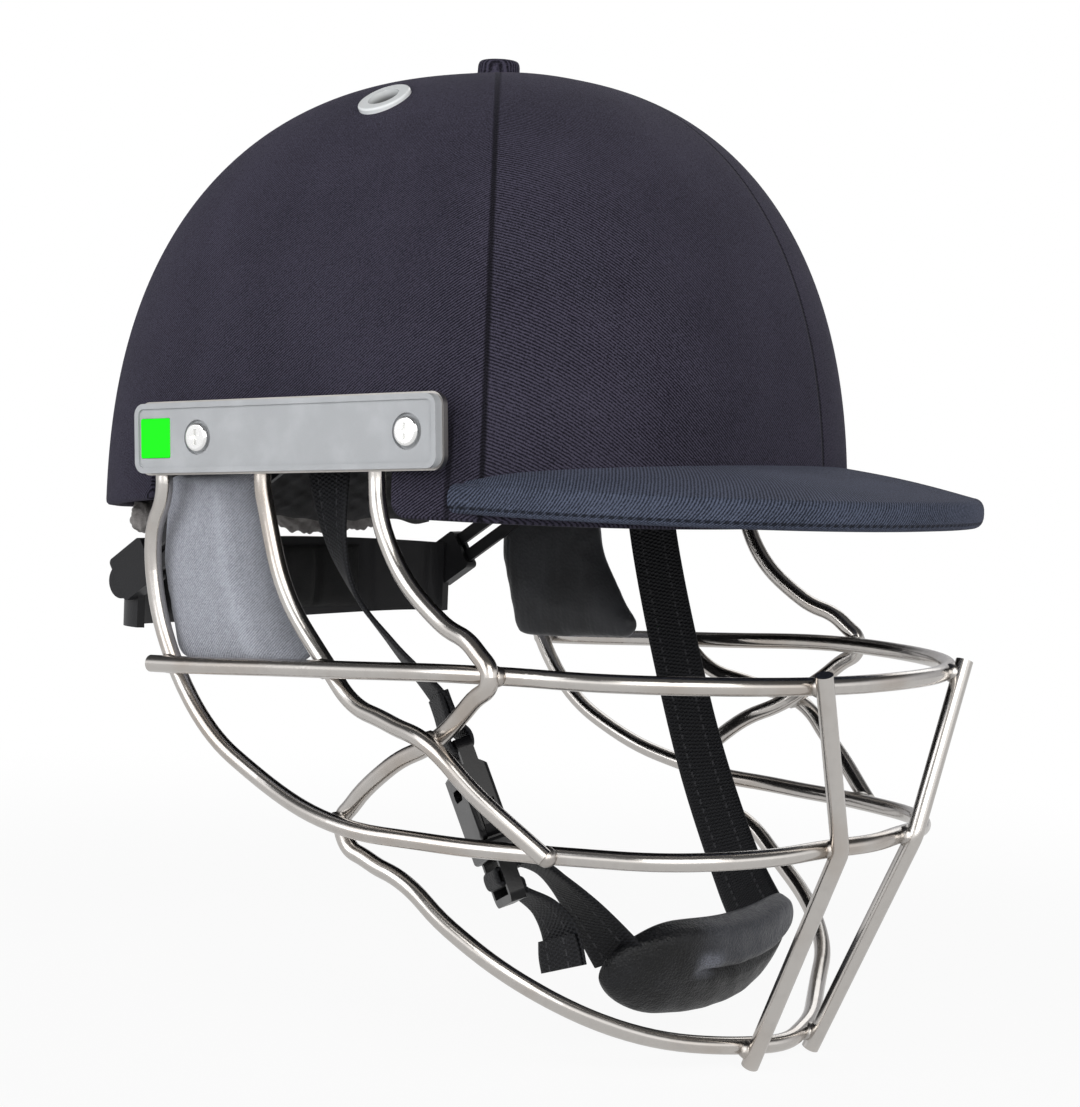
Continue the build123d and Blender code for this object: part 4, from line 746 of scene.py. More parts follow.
def make_cover():
    """Cloth over the dome, from the hem inside the rim up to the crown."""
    turns = np.radians(np.linspace(-90, 90, 201))
    edges = [ear_front, ear_rear, lobe_middle - lobe_half, lobe_middle + lobe_half]
    stops = np.concatenate([np.linspace(edge - rim_corner, edge + rim_corner, 25) for edge in edges])
    stop_turns = np.arcsin(signed_power(stops / plan_reach(stops, 0.0), plan_power / 2))
    turns = np.sort(np.concatenate([turns, stop_turns]))
    turns = np.concatenate([turns, pi - turns[-2:0:-1]])
    rim = rim_level(dome_places(turns, 0.0, cloth_outside)[:, 1])
    inside = -shell_wall - hem_gap
    hem = [(hem_depth, inside), (0.0002, inside), (-0.0007, -shell_wall * 0.8), (-0.0009, -shell_wall * 0.4),
           (-0.0007, 0.0004), (0.0, cloth_outside * 0.9)]
    rows = [dome_places(turns, rim + rise, grow) for rise, grow in hem]
    top, cloth_start = shell_height + cloth_outside, 0.001
    start = np.arcsin(((rim + cloth_start) / top) ** (profile_power / 2))
    for share in np.linspace(0, 1, 100):
        rise = start + (pi / 2 - start) * share
        rows.append(dome_places(turns, top * np.sin(rise) ** (2 / profile_power), cloth_outside))
    cover = grid_piece("cover_cloth", np.array(rows), around=True)
    vent_top = float(dome_height(np.array(vent_side), np.array(vent_back), 0.0))
    vents = [Vector((side * vent_side, vent_back, vent_top)) for side in (-1, 1)]
    tidy_mesh(cover.data, drop=lambda centre: min((centre - vent).length for vent in vents) < vent_hole)
    return cover


def make_button():
    """Cloth-covered button at the crown, gathered at its foot."""
    low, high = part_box("top_button")
    radius, middle, tall = (high.x - low.x) / 2, (low.y + high.y) / 2, high.z - low.z
    profile = [(1.04, 0.0), (1.03, 0.10), (0.99, 0.2), (0.985, 0.45), (0.98, 0.66), (0.94, 0.84),
               (0.86, 0.95), (0.7, 1.0), (0.45, 1.025), (0.2, 1.035), (0.0, 1.04)]
    gather, pucker = 0.012, 0.008
    turn = np.linspace(0, 2 * pi, 72, endpoint=False)
    rows = []
    for share, rise in profile:
        gathered = gather * np.sin(9 * turn + 1) * (1 - rise)
        puckered = pucker * np.sin(17 * turn) * rise * (1.1 - rise)
        reach = radius * share * (1 + gathered + puckered)
        level = np.full_like(turn, low.z + tall * rise)
        rows.append(np.stack([reach * np.cos(turn), middle + reach * np.sin(turn), level], -1))
    return subdivided(grid_piece("button_cloth", np.array(rows), around=True))


def make_peak():
    """Cloth round the peak's board, from its upper root over the edge to its lower root."""
    share = np.linspace(-peak_end, peak_end, 181)
    turn = pi / 2 * share
    x = peak_half_width * signed_power(np.sin(turn), 2 / peak_power)
    y = peak_centre - peak_reach * np.cos(turn) ** (2 / peak_power)
    root_x = x * peak_root_share
    root_y = -shell_front * (1 - np.abs(root_x / shell_half_width) ** plan_power) ** (1 / plan_power)
    root_y = root_y * peak_root_share
    way = np.stack([x - root_x, y - root_y], -1)
    run = np.linalg.norm(way, axis=1)
    way /= run[:, None]

    def at(reach, level):
        return np.stack([root_x + way[:, 0] * reach, root_y + way[:, 1] * reach, level + 0 * x], -1)

    root_top = peak_root_top - peak_root_fall * share ** 2
    half_edge = peak_edge_thickness / 2
    top = at(run - peak_nose, peak_edge_top)
    low = at(run - peak_nose, peak_edge_top - peak_edge_thickness)
    inside = cloth_outside - peak_tuck
    start = emerging(at(0 * run, root_top), top, inside)
    end = emerging(at(0 * run, root_top - peak_root_thickness), low, inside)
    crown = np.array([0, 0, peak_crown])
    upper = [start + (top - start) * s + crown * sin(pi * s) for s in np.linspace(0, 1, 30)]
    nose = [at(run - peak_nose + peak_nose * cos(bend),
               peak_edge_top - half_edge + half_edge * signed_power(sin(bend), 0.8))
            for bend in np.radians(np.linspace(90, -90, 13))[1:-1]]
    lower = [low + (end - low) * s for s in np.linspace(0, 1, 20)]
    places = np.array(upper + nose + lower)
    steps = np.linalg.norm(np.diff(places, axis=0), axis=2)
    across = np.concatenate([np.zeros((1, len(share))), np.cumsum(steps, 0)])
    across -= across[len(upper) - 1]
    along = np.concatenate([[0], np.cumsum(np.linalg.norm(np.diff(top, axis=0), axis=1))])
    return grid_piece("peak_cloth", places, along=along[None, :], across=across)


def cushion(name, skin, depth, rows=40, columns=120):
    """Closed pad between a back sheet and a crowned front.

    For u and v from -1 to 1, depth gives the pad's thickness and skin its places at a thickness.
    """
    v, u = np.meshgrid(np.linspace(-1, 1, rows), np.linspace(-1, 1, columns), indexing="ij")
    thick = depth(u, v)
    front, back = skin(u, v, thick), skin(u, v, 0 * thick)
    return grid_piece(name, np.concatenate([front, back[::-1]]))


def pillow(u, v, sharp=8):
    """1 in the middle and 0 at the border, with rounded shoulders."""
    return np.sqrt(faded((1 - np.abs(u) ** sharp) * (1 - np.abs(v) ** (sharp - 2))))


def bell(value, middle, width):
    """1 at the middle, falling smoothly to 0 on both sides."""
    return np.exp(-((value - middle) / width) ** 2)


def channels(value, middles, width):
    """Bells side by side, for the dips of quilted lines."""
    return sum(bell(value, middle, width) for middle in middles)


def ripple(u, v, seed):
    """Fixed soft creases, from -1 to 1."""
    waves = np.sin(11 * u + 5 * v + seed) + np.sin(23 * u - 9 * v + 2 * seed) + np.sin(37 * u + 13 * v + seed)
    return waves / 3


def make_brow_pad():
    """Pad inside the forehead, quilted by four lines."""
    low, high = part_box("brow_pad")
    span = radians(66)

    def skin(u, v, thick):
        level = low.z + (high.z - low.z) * (v + 1) / 2
        return dome_places(-pi / 2 + span * u, level, -lining_inside - thick)

    def depth(u, v):
        quilt = 1 - 0.45 * channels(u, (-0.6, -0.2, 0.2, 0.6), 0.035)
        return lining_thickness * pillow(u, v) * quilt + cushion_border

    return cushion("brow_cushion", skin, depth)


def make_neck_pad():
    """Creased pad inside the back of the head, with an uneven foot."""
    low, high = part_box("rear_neck_pad")
    span, foot, waver = radians(50), low.z + 0.0010, 0.0012

    def skin(u, v, thick):
        level = foot + (high.z - foot) * (v + 1) / 2 + waver * ripple(u, v, 2) * (1 - v) / 2
        return dome_places(pi / 2 + span * u, level, -lining_inside - thick)

    def depth(u, v):
        quilt = 0.62 + 0.18 * v - 0.3 * channels(u, (-0.5, 0, 0.5), 0.04) + 0.2 * ripple(1.6 * u, 2 * v, 1)
        return lining_thickness * pillow(u, v) * quilt + cushion_border

    return cushion("neck_cushion", skin, depth)


def make_crown_pad():
    """Round pad inside the crown, quilted by two rings."""
    low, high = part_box("crown_pad")
    radius, middle = (high.x - low.x) / 2, (low.y + high.y) / 2

    def skin(u, v, thick):
        reach = radius * (v + 1) / 2
        x, y = reach * np.cos(pi * u), middle + reach * np.sin(pi * u)
        return np.stack([x, y, dome_height(x, y, -lining_inside) - thick], -1)

    def depth(u, v):
        out = (v + 1) / 2
        quilt = 1 - 0.4 * channels(out, (0.4, 0.75), 0.05)
        return lining_thickness * np.sqrt(faded(1 - out ** 8)) * quilt + cushion_border

    return cushion("crown_cushion", skin, depth, rows=48)


def make_cradle_pad():
    """Pad along the inside of the rear adjuster's cradle."""
    low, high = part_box("cradle_pad")
    sleeve, span, bow, wall = 0.08019, 0.0746, 0.02481, 0.0016
    curve, middle, thickness = 2.3, (low.z + high.z) / 2, 0.0046
    reach = (high.x - low.x) / 2

    def skin(u, v, thick):
        x = reach * u
        wide, deep = span - wall - thick, bow - wall - thick
        y = sleeve + deep * (1 - np.abs(x / wide) ** curve) ** (1 / curve)
        return np.stack([x, y, middle + (high.z - low.z) / 2 * v], -1)

    def depth(u, v):
        quilt = 1 - 0.35 * channels(u, (-0.55, 0, 0.55), 0.03)
        return thickness * pillow(u, v, 6) * quilt + cushion_border

    return cushion("cradle_cushion", skin, depth, rows=28, columns=90)


def make_neck_rolls():
    """Crumpled rolls of the comfort cloth that show under the rim behind the temples, one on each side."""
    pieces = []
    crumple, flatness = 0.10, 0.9
    share, turn = np.meshgrid(np.linspace(-1, 1, 110), np.linspace(0, 2 * pi, 56, endpoint=False),
                              indexing="ij")
    plan = neck_roll_middle + neck_roll_span * share
    end = np.sqrt(np.clip(1 - np.abs(share) ** 5, 0.002, 1))
    folds = (np.sin(4 * turn + 9 * share + 2 * np.sin(7 * share)) + 0.7 * np.sin(7 * turn - 17 * share)
             + 0.5 * np.sin(38 * share + 2 * turn))
    radius = neck_roll_radius * end * (1 + crumple * folds)
    rim = rim_level(dome_places(plan, 0.0, 0.0)[..., 1])
    centre = dome_places(plan, rim, -neck_roll_inside)
    centre[..., 2] = rim - neck_roll_drop
    way = np.stack([np.cos(plan), np.sin(plan), 0 * plan], -1)
    near = centre + way * (radius * np.cos(turn))[..., None] * flatness
    near[..., 2] += radius * np.sin(turn)
    far = (near * np.array([-1, 1, 1]))[:, ::-1]
    for name, places in (("neck_roll_near", near), ("neck_roll_far", far)):
        pieces.append(grid_piece(name, places, around=True, capped=True))
    return pieces


def stuffed(name, node, settings):
    """Copy of a node's form as stuffed cloth: evened out, blown up by a short simulation and smoothed."""
    piece = placed(name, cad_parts[node].data.copy())
    piece.data.materials.clear()
    even = piece.modifiers.new("even", "REMESH")
    even.mode, even.voxel_size = "VOXEL", settings.voxel
    relax = piece.modifiers.new("relax", "SMOOTH")
    relax.factor, relax.iterations = 0.5, 8
    settled(piece)
    rest = places_of(piece)
    frames = 20
    cloth = piece.modifiers.new("stuffing", "CLOTH")
    cloth.settings.use_pressure = True
    cloth.settings.uniform_pressure_force = 4
    cloth.settings.effector_weights.gravity = 0
    cloth.settings.mass = 0.15
    cloth.point_cache.frame_start, cloth.point_cache.frame_end = 1, frames
    for step in range(1, frames + 1):
        bpy.context.scene.frame_set(step)
    settled(piece)
    bpy.context.scene.frame_set(1)
    shift = places_of(piece) - rest
    pushed = np.linalg.norm(shift, axis=1, keepdims=True)
    shift *= np.minimum(1, settings.temple_swell / np.maximum(pushed, 1e-9))
    piece.data.vertices.foreach_set("co", (rest + shift).ravel())
    return subdivided(piece)


def line_distance(points, corners):
    """Distance in the plane from points to a line through corners."""
    best = np.full(len(points), 1.0)
    for start, end in zip(corners, corners[1:]):
        start, way = np.array(start), np.array(end) - np.array(start)
        share = faded(((points - start) @ way) / (way @ way))
        best = np.minimum(best, np.linalg.norm(points - start - share[:, None] * way, axis=1))
    return best


def make_temple_pad(side, settings):
    """Temple pad with a sloped band along its front edge and a shallow crown."""
    node = f"temple_pad_{side}"
    pad = stuffed(f"temple_cushion_{side}", node, settings)
    low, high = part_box(node)
    places = places_of(pad)
    x, y, z = places.T
    outwards = 1 if side == "left" else -1
    inner, outer = sorted((low.x * outwards, high.x * outwards))
    band_width = temple_band + temple_band_growth * faded((temple_growth_top - z) / temple_growth_drop)
    slope = faded(1 - line_distance(places[:, 1:], temple_edge) / band_width) ** 1.15
    face = faded((x * outwards - inner) / (outer - inner)) ** 2
    below = faded((temple_band_top - z) / temple_band_fade)
    crown = temple_crown * np.sin(y * 95) * np.sin(z * 120) * below
    rear = faded((y - (low.y + high.y) / 2) / (high.y - low.y) * 2)
    foot = faded(((low.z + high.z) / 2 - z) / (high.z - low.z) * 2)
    x = x - outwards * face * (settings.temple_bevel * slope * below - crown)
    y = y + settings.temple_widening * rear
    z = z - settings.temple_drop * foot
    pad.data.vertices.foreach_set("co", np.stack([x, y, z], -1).ravel())
    # Share of the sloped band, for the pad cloth's painted highlight and painted shade
    set_values(pad.data, "band", slope * below)
    return pad


def cup_places(share, turn):
    """Places on the chin cup: a padded bar with a rolled upper edge and a long crease along its front."""
    round_from, buckle_end = 0.80, np.clip(-share - 0.5, 0, 1) / 0.5
    tip = faded(1 - faded((np.abs(share) - round_from) / (1 - round_from)) ** 2.4) ** 0.42
    size = (1 - (1 - cup_end_share) * share ** 4) * (0.35 + 0.65 * tip)
    size = np.where(np.abs(share) > 0.999, 0.02, size * (1 - cup_taper * buckle_end ** 2))
    centre = np.stack([share * cup_half_length * 0.985, cup_sweep * share ** 2 - cup_ahead,
                       cup_rise * share ** 2 - cup_level - cup_droop * faded(-share - 0.3) ** 2], -1)
    up = np.array([0, -sin(cup_tilt), cos(cup_tilt)])
    ahead = np.array([0, -cos(cup_tilt), -sin(cup_tilt)])
    rise = cup_half_height * signed_power(np.sin(turn), cup_roundness) * size
    out = cup_half_thickness * signed_power(np.cos(turn), 0.72) * size
    level = rise / cup_half_height
    front = faded(np.cos(turn) * 1.5)
    crease_at = crease_level + 0.12 * share ** 2
    creased = front * faded((0.93 - np.abs(share - 0.12)) / 0.25) * faded((share + 0.42) / 0.2)
    out = out - creased * crease_depth * bell(level, crease_at, crease_width)
    out = out + creased * crease_swell * bell(level, crease_at + swell_above_crease, swell_width)
    roll = edge_roll * bell(level, edge_roll_level, edge_roll_width) * (1 - 0.5 * np.abs(share))
    out = out + roll * np.sign(np.cos(turn))
    waves = np.sin(share * 19 + 4 * level) * np.sin(share * 7.3 + 1)
    out = out + 0.00022 * waves * front * (1 - np.abs(share))
    bow = 0.0022 * faded(-np.cos(turn)) * (1 - level ** 2) * (1 - share ** 2)
    return centre + up * rise[..., None] + ahead * (out + bow)[..., None]


def make_chin_cup():
    """Chin cup, with finer steps towards its ends."""
    ends = np.sin(np.linspace(-pi / 2, pi / 2, 120))
    share, turn = np.meshgrid(ends, np.linspace(0, 2 * pi, 96, endpoint=False), indexing="ij")
    rise = cup_half_height * signed_power(np.sin(turn), cup_roundness)
    return grid_piece("cup_cushion", cup_places(share, turn), along=share * cup_half_length, across=rise,
                      around=True, capped=True)


def eased(rows, steps):
    """Rows of places or directions with smooth ones filled in between them."""
    last, filled = len(rows) - 1, []
    for i in range(last):
        before, start, end, after = rows[max(i - 1, 0)], rows[i], rows[i + 1], rows[min(i + 2, last)]
        leave, arrive = (end - before) / 2, (after - start) / 2
        for share in np.linspace(0, 1, steps, endpoint=False):
            filled.append(start * (1 - share) ** 2 * (1 + 2 * share) + end * share ** 2 * (3 - 2 * share)
                          + leave * share * (1 - share) ** 2 - arrive * share ** 2 * (1 - share))
    return filled + [rows[last]]


def strap(name, route, widths, steps=10, half_width=webbing_half_width):
    """Flat webbing along a route, each of its places with the direction of its width."""
    places, wides = eased(route, steps), eased(widths, steps)
    upper = [(-1, 0), (-0.985, 0.55), (-0.93, 0.8), (-0.8, 1), (-0.4, 0.94), (0, 0.92), (0.4, 0.94), (0.8, 1),
             (0.93, 0.8), (0.985, 0.55), (1, 0)]
    section = upper + [(x, -y) for x, y in upper[-2:0:-1]]
    rows, along = [], [0.0]
    for i, (place, wide) in enumerate(zip(places, wides)):
        after = places[min(i + 1, len(places) - 1)]
        ahead = (after - places[max(i - 1, 0)]).normalized()
        wide = (wide - ahead * wide.dot(ahead)).normalized()
        half_wide, half_thick = wide * half_width, ahead.cross(wide) * webbing_half_thickness
        rows.append([list(place + half_wide * x + half_thick * y) for x, y in section])
        along.append(along[-1] + (after - place).length)
    across = np.array([x * half_width for x, _ in section])
    return grid_piece(name, np.array(rows), along=np.array(along[:-1])[:, None], across=across[None, :],
                      around=True, capped=True)


def between(start, end, shares):
    """Places on the way from start to end, each with its own share of the way in x, y and z."""
    way = end - start
    return [start + Vector((way.x * x, way.y * y, way.z * z)) for x, y, z in shares]


def make_near_webbing():
    """Webbing from the near anchor to the buckle's upper bar, and its sewn loop round that bar."""
    straight = 0.008
    route = between(near_post, at_buckle(0, loop_start), [
        (0, 0, -0.074), (0, 0, 0.1), (0, 0.09, 0.4), (0.2, 0.27, 0.6), (0.4, 0.6, 0.76), (0.8, 0.88, 0.93),
        (1, 1, 1)])
    route[-2] = at_buckle(0, loop_start - straight)
    widths = [(0, 1, 0), (0, 1, 0), (0.45, 0.9, 0), (0.7, 0.7, 0), (0.7, 0.7, -0.1)]
    run = strap("webbing_near_run", route, [Vector(width) for width in widths] + [buckle_across] * 2)
    inner = [(0.0009, -0.0145), (0.0010, -0.009), (0.0016, -0.0045), (bar_round, -0.0012),
             (bar_round, 0.0014), (0.0022, 0.0031)]
    loop = inner + [(0, 0.0032)] + [(-out, down) for out, down in reversed(inner)]
    fold = strap("webbing_near_loop", [at_buckle(*place) for place in loop], [buckle_across] * len(loop), 5,
                 webbing_half_width * 0.985)
    return run, fold


def make_far_webbing():
    """Webbing from the far anchor to the chin cup."""
    route = between(far_post, cup_far, [(0, 0, -0.045), (0, 0, 0.06), (0, 0.05, 0.24), (0.05, 0.19, 0.47),
                                        (0.2, 0.41, 0.72), (0.55, 0.72, 0.92), (1, 1, 1)])
    widths = [Vector((0, 1, -lean)) for lean in (0, 0, 0, 0.1, 0.3, 0.5, 0.55)]
    return strap("webbing_far_run", route, widths, 14)


def make_tail_webbing():
    """Webbing round the lock's middle bar and out as a free end, with its end turned back and sewn."""
    tail_length, tail_start, tail_twist, hem_lift = 0.026, 0.0453, radians(25), -0.0017
    turns = [(0.0039, lock_bar), (-0.0020, lock_bar), (-bar_round, 0.0394), (-bar_round, 0.0422),
             (-0.0020, 0.0429), (0.0020, 0.0429), (bar_round, 0.0437), (bar_round, tail_start)]
    ends = [(0.02, 0.06), (0.2, 0.3), (0.27, 0.62), (0.2, 1.0)]
    places = [at_buckle(*place) for place in turns]
    for out, down in ends:
        places.append(at_buckle(bar_round + tail_length * out, tail_start + tail_length * down))
    twists = [0] * len(turns) + [0, 0.4, 0.8, 1.0]
    widths = [buckle_width_at(buckle_turn - tail_twist * twist) for twist in twists]
    tail = strap("webbing_tail_run", places, widths, 8)
    back = places[-2] - places[-1]
    lift = (-back).cross(widths[-1]).normalized() * hem_lift
    fold = [places[-1] + lift + back * share for share in (0, 0.45, 0.9)]
    hem = strap("webbing_tail_hem", fold, [widths[-1], widths[-1], widths[-2]], 8)
    return tail, hem


def make_lower_webbing():
    """Webbing from the buckle's plug to the chin cup, and its route."""
    start_out = 0.00445
    end = cup_near - buckle_origin
    out, down, across = end.dot(buckle_out), end.dot(buckle_down), end.dot(buckle_across)
    shares = [(0, 0, 0), (0, 0.07, 0), (0, 0.19, 0.02), (0.2, 0.44, 0.18), (0.5, 0.72, 0.53), (1, 1, 1)]
    route = [at_buckle(start_out + (out - start_out) * y, lock_bar + (down - lock_bar) * z, across * x)
             for x, y, z in shares]
    widths = [buckle_across] * 4 + [Vector((0.4, 0.9, -0.4)), Vector((0, 1, -0.55))]
    return strap("webbing_lower_run", route, widths, 12), route


def make_welds(radius):
    """Lumpy weld beads where the wires cross."""
    form = bmesh.new()
    unevenness = 0.10
    for i, (x, y, z) in enumerate(crossing_shares):
        for side in (-1, 1):
            centre = Vector((side * x * grille_half_width, y * grille_reach, -z * grille_drop))
            ball = bmesh.ops.create_icosphere(form, subdivisions=3, radius=radius,
                                              matrix=Matrix.Translation(centre))
            for vert in ball["verts"]:
                way = vert.co - centre
                lump = 1 + unevenness * sin(way.x * 2100 + i) * sin(way.y * 1900 + side) * sin(way.z * 2300)
                vert.co = centre + Vector((way.x * lump, way.y * lump * 1.04, way.z * lump * 0.96))
    mesh = bpy.data.meshes.new("weld_beads")
    written(form, mesh)
    return placed("weld_beads", mesh)


# Operators

def add_lamp(name, place, target, size, energy, tint):
    lamp = bpy.data.lights.new(name, "AREA")
    lamp.shape, lamp.size, lamp.size_y = "RECTANGLE", size[0], size[1]
    lamp.energy, lamp.color = energy, tint
    owner = placed(name, lamp)
    owner.location = place
    owner.rotation_euler = (Vector(target) - Vector(place)).to_track_quat("-Z", "Y").to_euler()


def seen_directly(finish):
    """1 for what the camera sees, also through glass, and less for what it sees in metal."""
    camera, mirror, glass = [finish.node("ShaderNodeLightPath", output=name)
                             for name in ("Is Camera Ray", "Is Glossy Ray", "Is Transmission Ray")]
    return camera.most(mirror * 0.6).most(glass)


class HELMET_OT_stage(bpy.types.Operator):
    """Set up the camera, the pale floor, the room light and the lamps."""
    bl_idname = "helmet.stage"
    bl_label = "Stage"

    def execute(self, context):
        settings = context.scene.helmet_stage
        context.scene.view_settings.view_transform = "Standard"
        self.add_camera(context, settings)
        self.make_floor(settings)
        self.make_room(context, settings)
        add_lamp("key", (-1.15, -1.55, 0.85), (0, 0, 0.02), (1.5, 1.3), settings.key_power, (1, 0.99, 0.97))
        add_lamp("fill", (-1.7, 0.5, 0.7), (0, 0, 0), (1.2, 1.4), settings.fill_power, (0.97, 0.98, 1))
        add_lamp("rim", (1.5, 0.4, 1.2), (0, 0, 0.03), (0.9, 1.4), settings.rim_power, (1, 1, 1))
        return {"FINISHED"}

    def add_camera(self, context, settings):
        view = bpy.data.cameras.new("view")
        view.sensor_fit, view.sensor_width, view.lens = "HORIZONTAL", 36, settings.camera_lens
        view.clip_start, view.clip_end = 0.01, 60
        camera = placed("view", view)
        turn, fall = settings.camera_turn, settings.camera_fall
        gaze = Vector((cos(turn) * cos(fall), sin(turn) * cos(fall), -sin(fall)))
        camera.matrix_world = (Matrix.Translation(settings.camera_place)
                               @ gaze.to_track_quat("-Z", "Y").to_matrix().to_4x4()
                               @ Matrix.Rotation(settings.camera_roll, 4, "Z"))
        context.scene.camera = camera

    def make_floor(self, settings):
        level, reach, sides = cad_box[0][2], 6.0, 48
        mesh = bpy.data.meshes.new("floor")
        turns = [2 * pi * i / sides for i in range(sides)]
        ring = [(reach * cos(turn), reach * sin(turn), level) for turn in turns]
        mesh.from_pydata(ring, [], [range(sides)])
        finish = Finish("floor")
        tone = finish.blend(finish.noise(3, 3), settings.floor_colour, scaled(settings.floor_colour, 1.02))
        plain = finish.node("ShaderNodeBsdfDiffuse", {}, {"Color": tone})
        white = finish.node("ShaderNodeEmission", {}, {"Color": (1, 1, 1), "Strength": 1.0})
        x, y, _ = finish.axes()
        away = (x * x + y * y).maths("SQRT").rise(0.18, 0.62)
        share = seen_directly(finish) * (0.92 + 0.08 * away)
        mixed = finish.node("ShaderNodeMixShader", {}, {0: share, 1: plain, 2: white})
        mesh.materials.append(finish.shown(mixed))
        placed("floor", mesh)

    def make_room(self, context, settings):
        room = Finish("room", "worlds")
        x, y, z = room.axes(room.node("ShaderNodeTexCoord", output="Generated"))
        open_side = (-0.62 * x - 0.5 * y + 0.22 * z).rise(-0.75, 0.65)
        band = 1 - abs(z).rise(0.28, 0.55)
        tone = room.blend(open_side, (0.34, 0.34, 0.35), (1.0, 1.0, 1.0))
        strength = (band * 3.2 + 0.3) * settings.world_strength
        light = room.node("ShaderNodeBackground", {}, {"Color": tone, "Strength": strength})
        white = room.node("ShaderNodeBackground", {}, {"Color": (1, 1, 1), "Strength": 1.0})
        seen = room.node("ShaderNodeLightPath", output="Is Camera Ray")
        mixed = room.node("ShaderNodeMixShader", {}, {0: seen, 1: light, 2: white})
        context.scene.world = room.shown(mixed, "ShaderNodeOutputWorld")


class HELMET_OT_cover(bpy.types.Operator):
    """Make the cloth over the dome and the covered button."""
    bl_idname = "helmet.cover"
    bl_label = "Dome cloth and button"

    def execute(self, context):
        cloth = context.scene.helmet_cloth
        dress(make_cover(), cover_twill(cloth), "helmet", "cover_cloth", "cover_front_panel",
              "cover_left_panel", "cover_right_panel")
        button = flat_twill("button_twill", cloth, cloth.cover_colour, cloth.cover_pale)
        dress(make_button(), button, "helmet", "cover_cloth", "top_button")
        return {"FINISHED"}


class HELMET_OT_peak(bpy.types.Operator):
    """Make the cloth round the peak."""
    bl_idname = "helmet.peak"
    bl_label = "Peak cloth"

    def execute(self, context):
        cloth = context.scene.helmet_cloth
        finish = flat_twill("peak_twill", cloth, cloth.peak_colour, cloth.peak_pale, peak_stitch_at)
        dress(make_peak(), finish, "helmet", "cover_cloth", "peak_top_cloth", "peak_under_cloth")
        return {"FINISHED"}


class HELMET_OT_lining(bpy.types.Operator):
    """Make the comfort pads inside the liner and the rolls under the rim."""
    bl_idname = "helmet.lining"
    bl_label = "Lining pads"

    def execute(self, context):
        pads = context.scene.helmet_pads
        dark = brushed_cloth("lining_cloth", pads.lining_colour)
        grey = brushed_cloth("comfort_cloth", pads.comfort_colour)
        cushions = ((make_brow_pad(), dark, "brow_pad"), (make_neck_pad(), grey, "rear_neck_pad"),
                    (make_crown_pad(), dark, "crown_pad"))
        for piece, finish, node in cushions:
            dress(piece, finish, "helmet", "comfort_cloth", node)
        pale = brushed_cloth("roll_cloth", pads.roll_colour)
        for piece in make_neck_rolls():
            dress(piece, pale, "helmet", "comfort_cloth", "rear_neck_pad")
        return {"FINISHED"}


class HELMET_OT_temple_pads(bpy.types.Operator):
    """Make the two stuffed temple pads."""
    bl_idname = "helmet.temple_pads"
    bl_label = "Temple pads"

    def execute(self, context):
        pads = context.scene.helmet_pads
        low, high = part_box("temple_pad_left")
        boundary = (low.x + high.x) / 2 - 0.001
        finish = woven_pad("temple_cloth", pads.outer_colour, pads.inner_colour, boundary)
        for side in ("left", "right"):
            piece = make_temple_pad(side, pads)
            dress(piece, finish, "helmet", "pad_cloth", f"temple_pad_{side}")
        return {"FINISHED"}


class HELMET_OT_chin_cup(bpy.types.Operator):
    """Make the padded chin cup."""
    bl_idname = "helmet.chin_cup"
    bl_label = "Chin cup"

    def execute(self, context):
        finish = coated_cloth("cup_cloth", context.scene.helmet_pads.cup_colour)
        dress(make_chin_cup(), finish, "chin_strap", "cup_foam", "chin_cup")
        return {"FINISHED"}


class HELMET_OT_straps(bpy.types.Operator):
    """Make the webbing of the chin strap."""
    bl_idname = "helmet.straps"
    bl_label = "Webbing"

    def execute(self, context):
        plain = webbing_weave("webbing_weave", context.scene.helmet_straps)
        for piece in make_near_webbing():
            dress(piece, plain, "chin_strap", "webbing", "webbing_near")
        dress(make_far_webbing(), plain, "chin_strap", "webbing", "webbing_far")
        for piece in make_tail_webbing():
            dress(piece, plain, "buckle_plug", "webbing", "webbing_tail")
        lower, route = make_lower_webbing()
        dress(lower, plain, None, "webbing", "webbing_lower")
        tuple(route[-2])
        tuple(route[1])
        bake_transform(lower)
        return {"FINISHED"}


class HELMET_OT_grille(bpy.types.Operator):
    """Finish the grille's wires and add their welds."""
    bl_idname = "helmet.grille"
    bl_label = "Grille"

    def execute(self, context):
        hardware = context.scene.helmet_hardware
        tint, warm = hardware.wire_colour, hardware.weld_colour
        coat(brushed_steel("wire_steel", tint, warm, (300, 300, 300), 0.15), "grille_upper_ring",
             "grille_middle_ring", "grille_chin_ring", *both("grille_cheek_wire"), *both("grille_front_bar"))
        weld = brushed_steel("weld_steel", scaled(tint, 0.8), warm, (900, 900, 900), 0.26)
        dress(make_welds(hardware.bead_radius), weld, "helmet", "wire_metal")
        return {"FINISHED"}


class HELMET_OT_plates(bpy.types.Operator):
    """Finish the side plates, their inlays, screws, spacers and nuts."""
    bl_idname = "helmet.plates"
    bl_label = "Side plates"

    def execute(self, context):
        hardware = context.scene.helmet_hardware
        steel, black = hardware.wire_colour, hardware.black_colour
        coat(brushed_steel("plate_steel", scaled(steel, 0.75), steel, (90, 30, 1400), 0.28),
             *both("grille_plate"))
        coat(moulded("plate_plastic", hardware.plate_colour, 0.34, 2600, 0.00006, 0.15), *both("plate_cover"))
        coat(moulded("inlay_plastic", hardware.inlay_colour, 0.4, 1800, 0.00003), *both("plate_inlay"))
        coat(brushed_steel("screw_steel", (0.88, 0.88, 0.87), (0.75, 0.74, 0.73), (260, 260, 260), 0.10),
             "plate_screws", "tee_nuts")
        coat(moulded("spacer_plastic", black, 0.45, 1500, 0.00008), "plate_spacers")
        return {"FINISHED"}


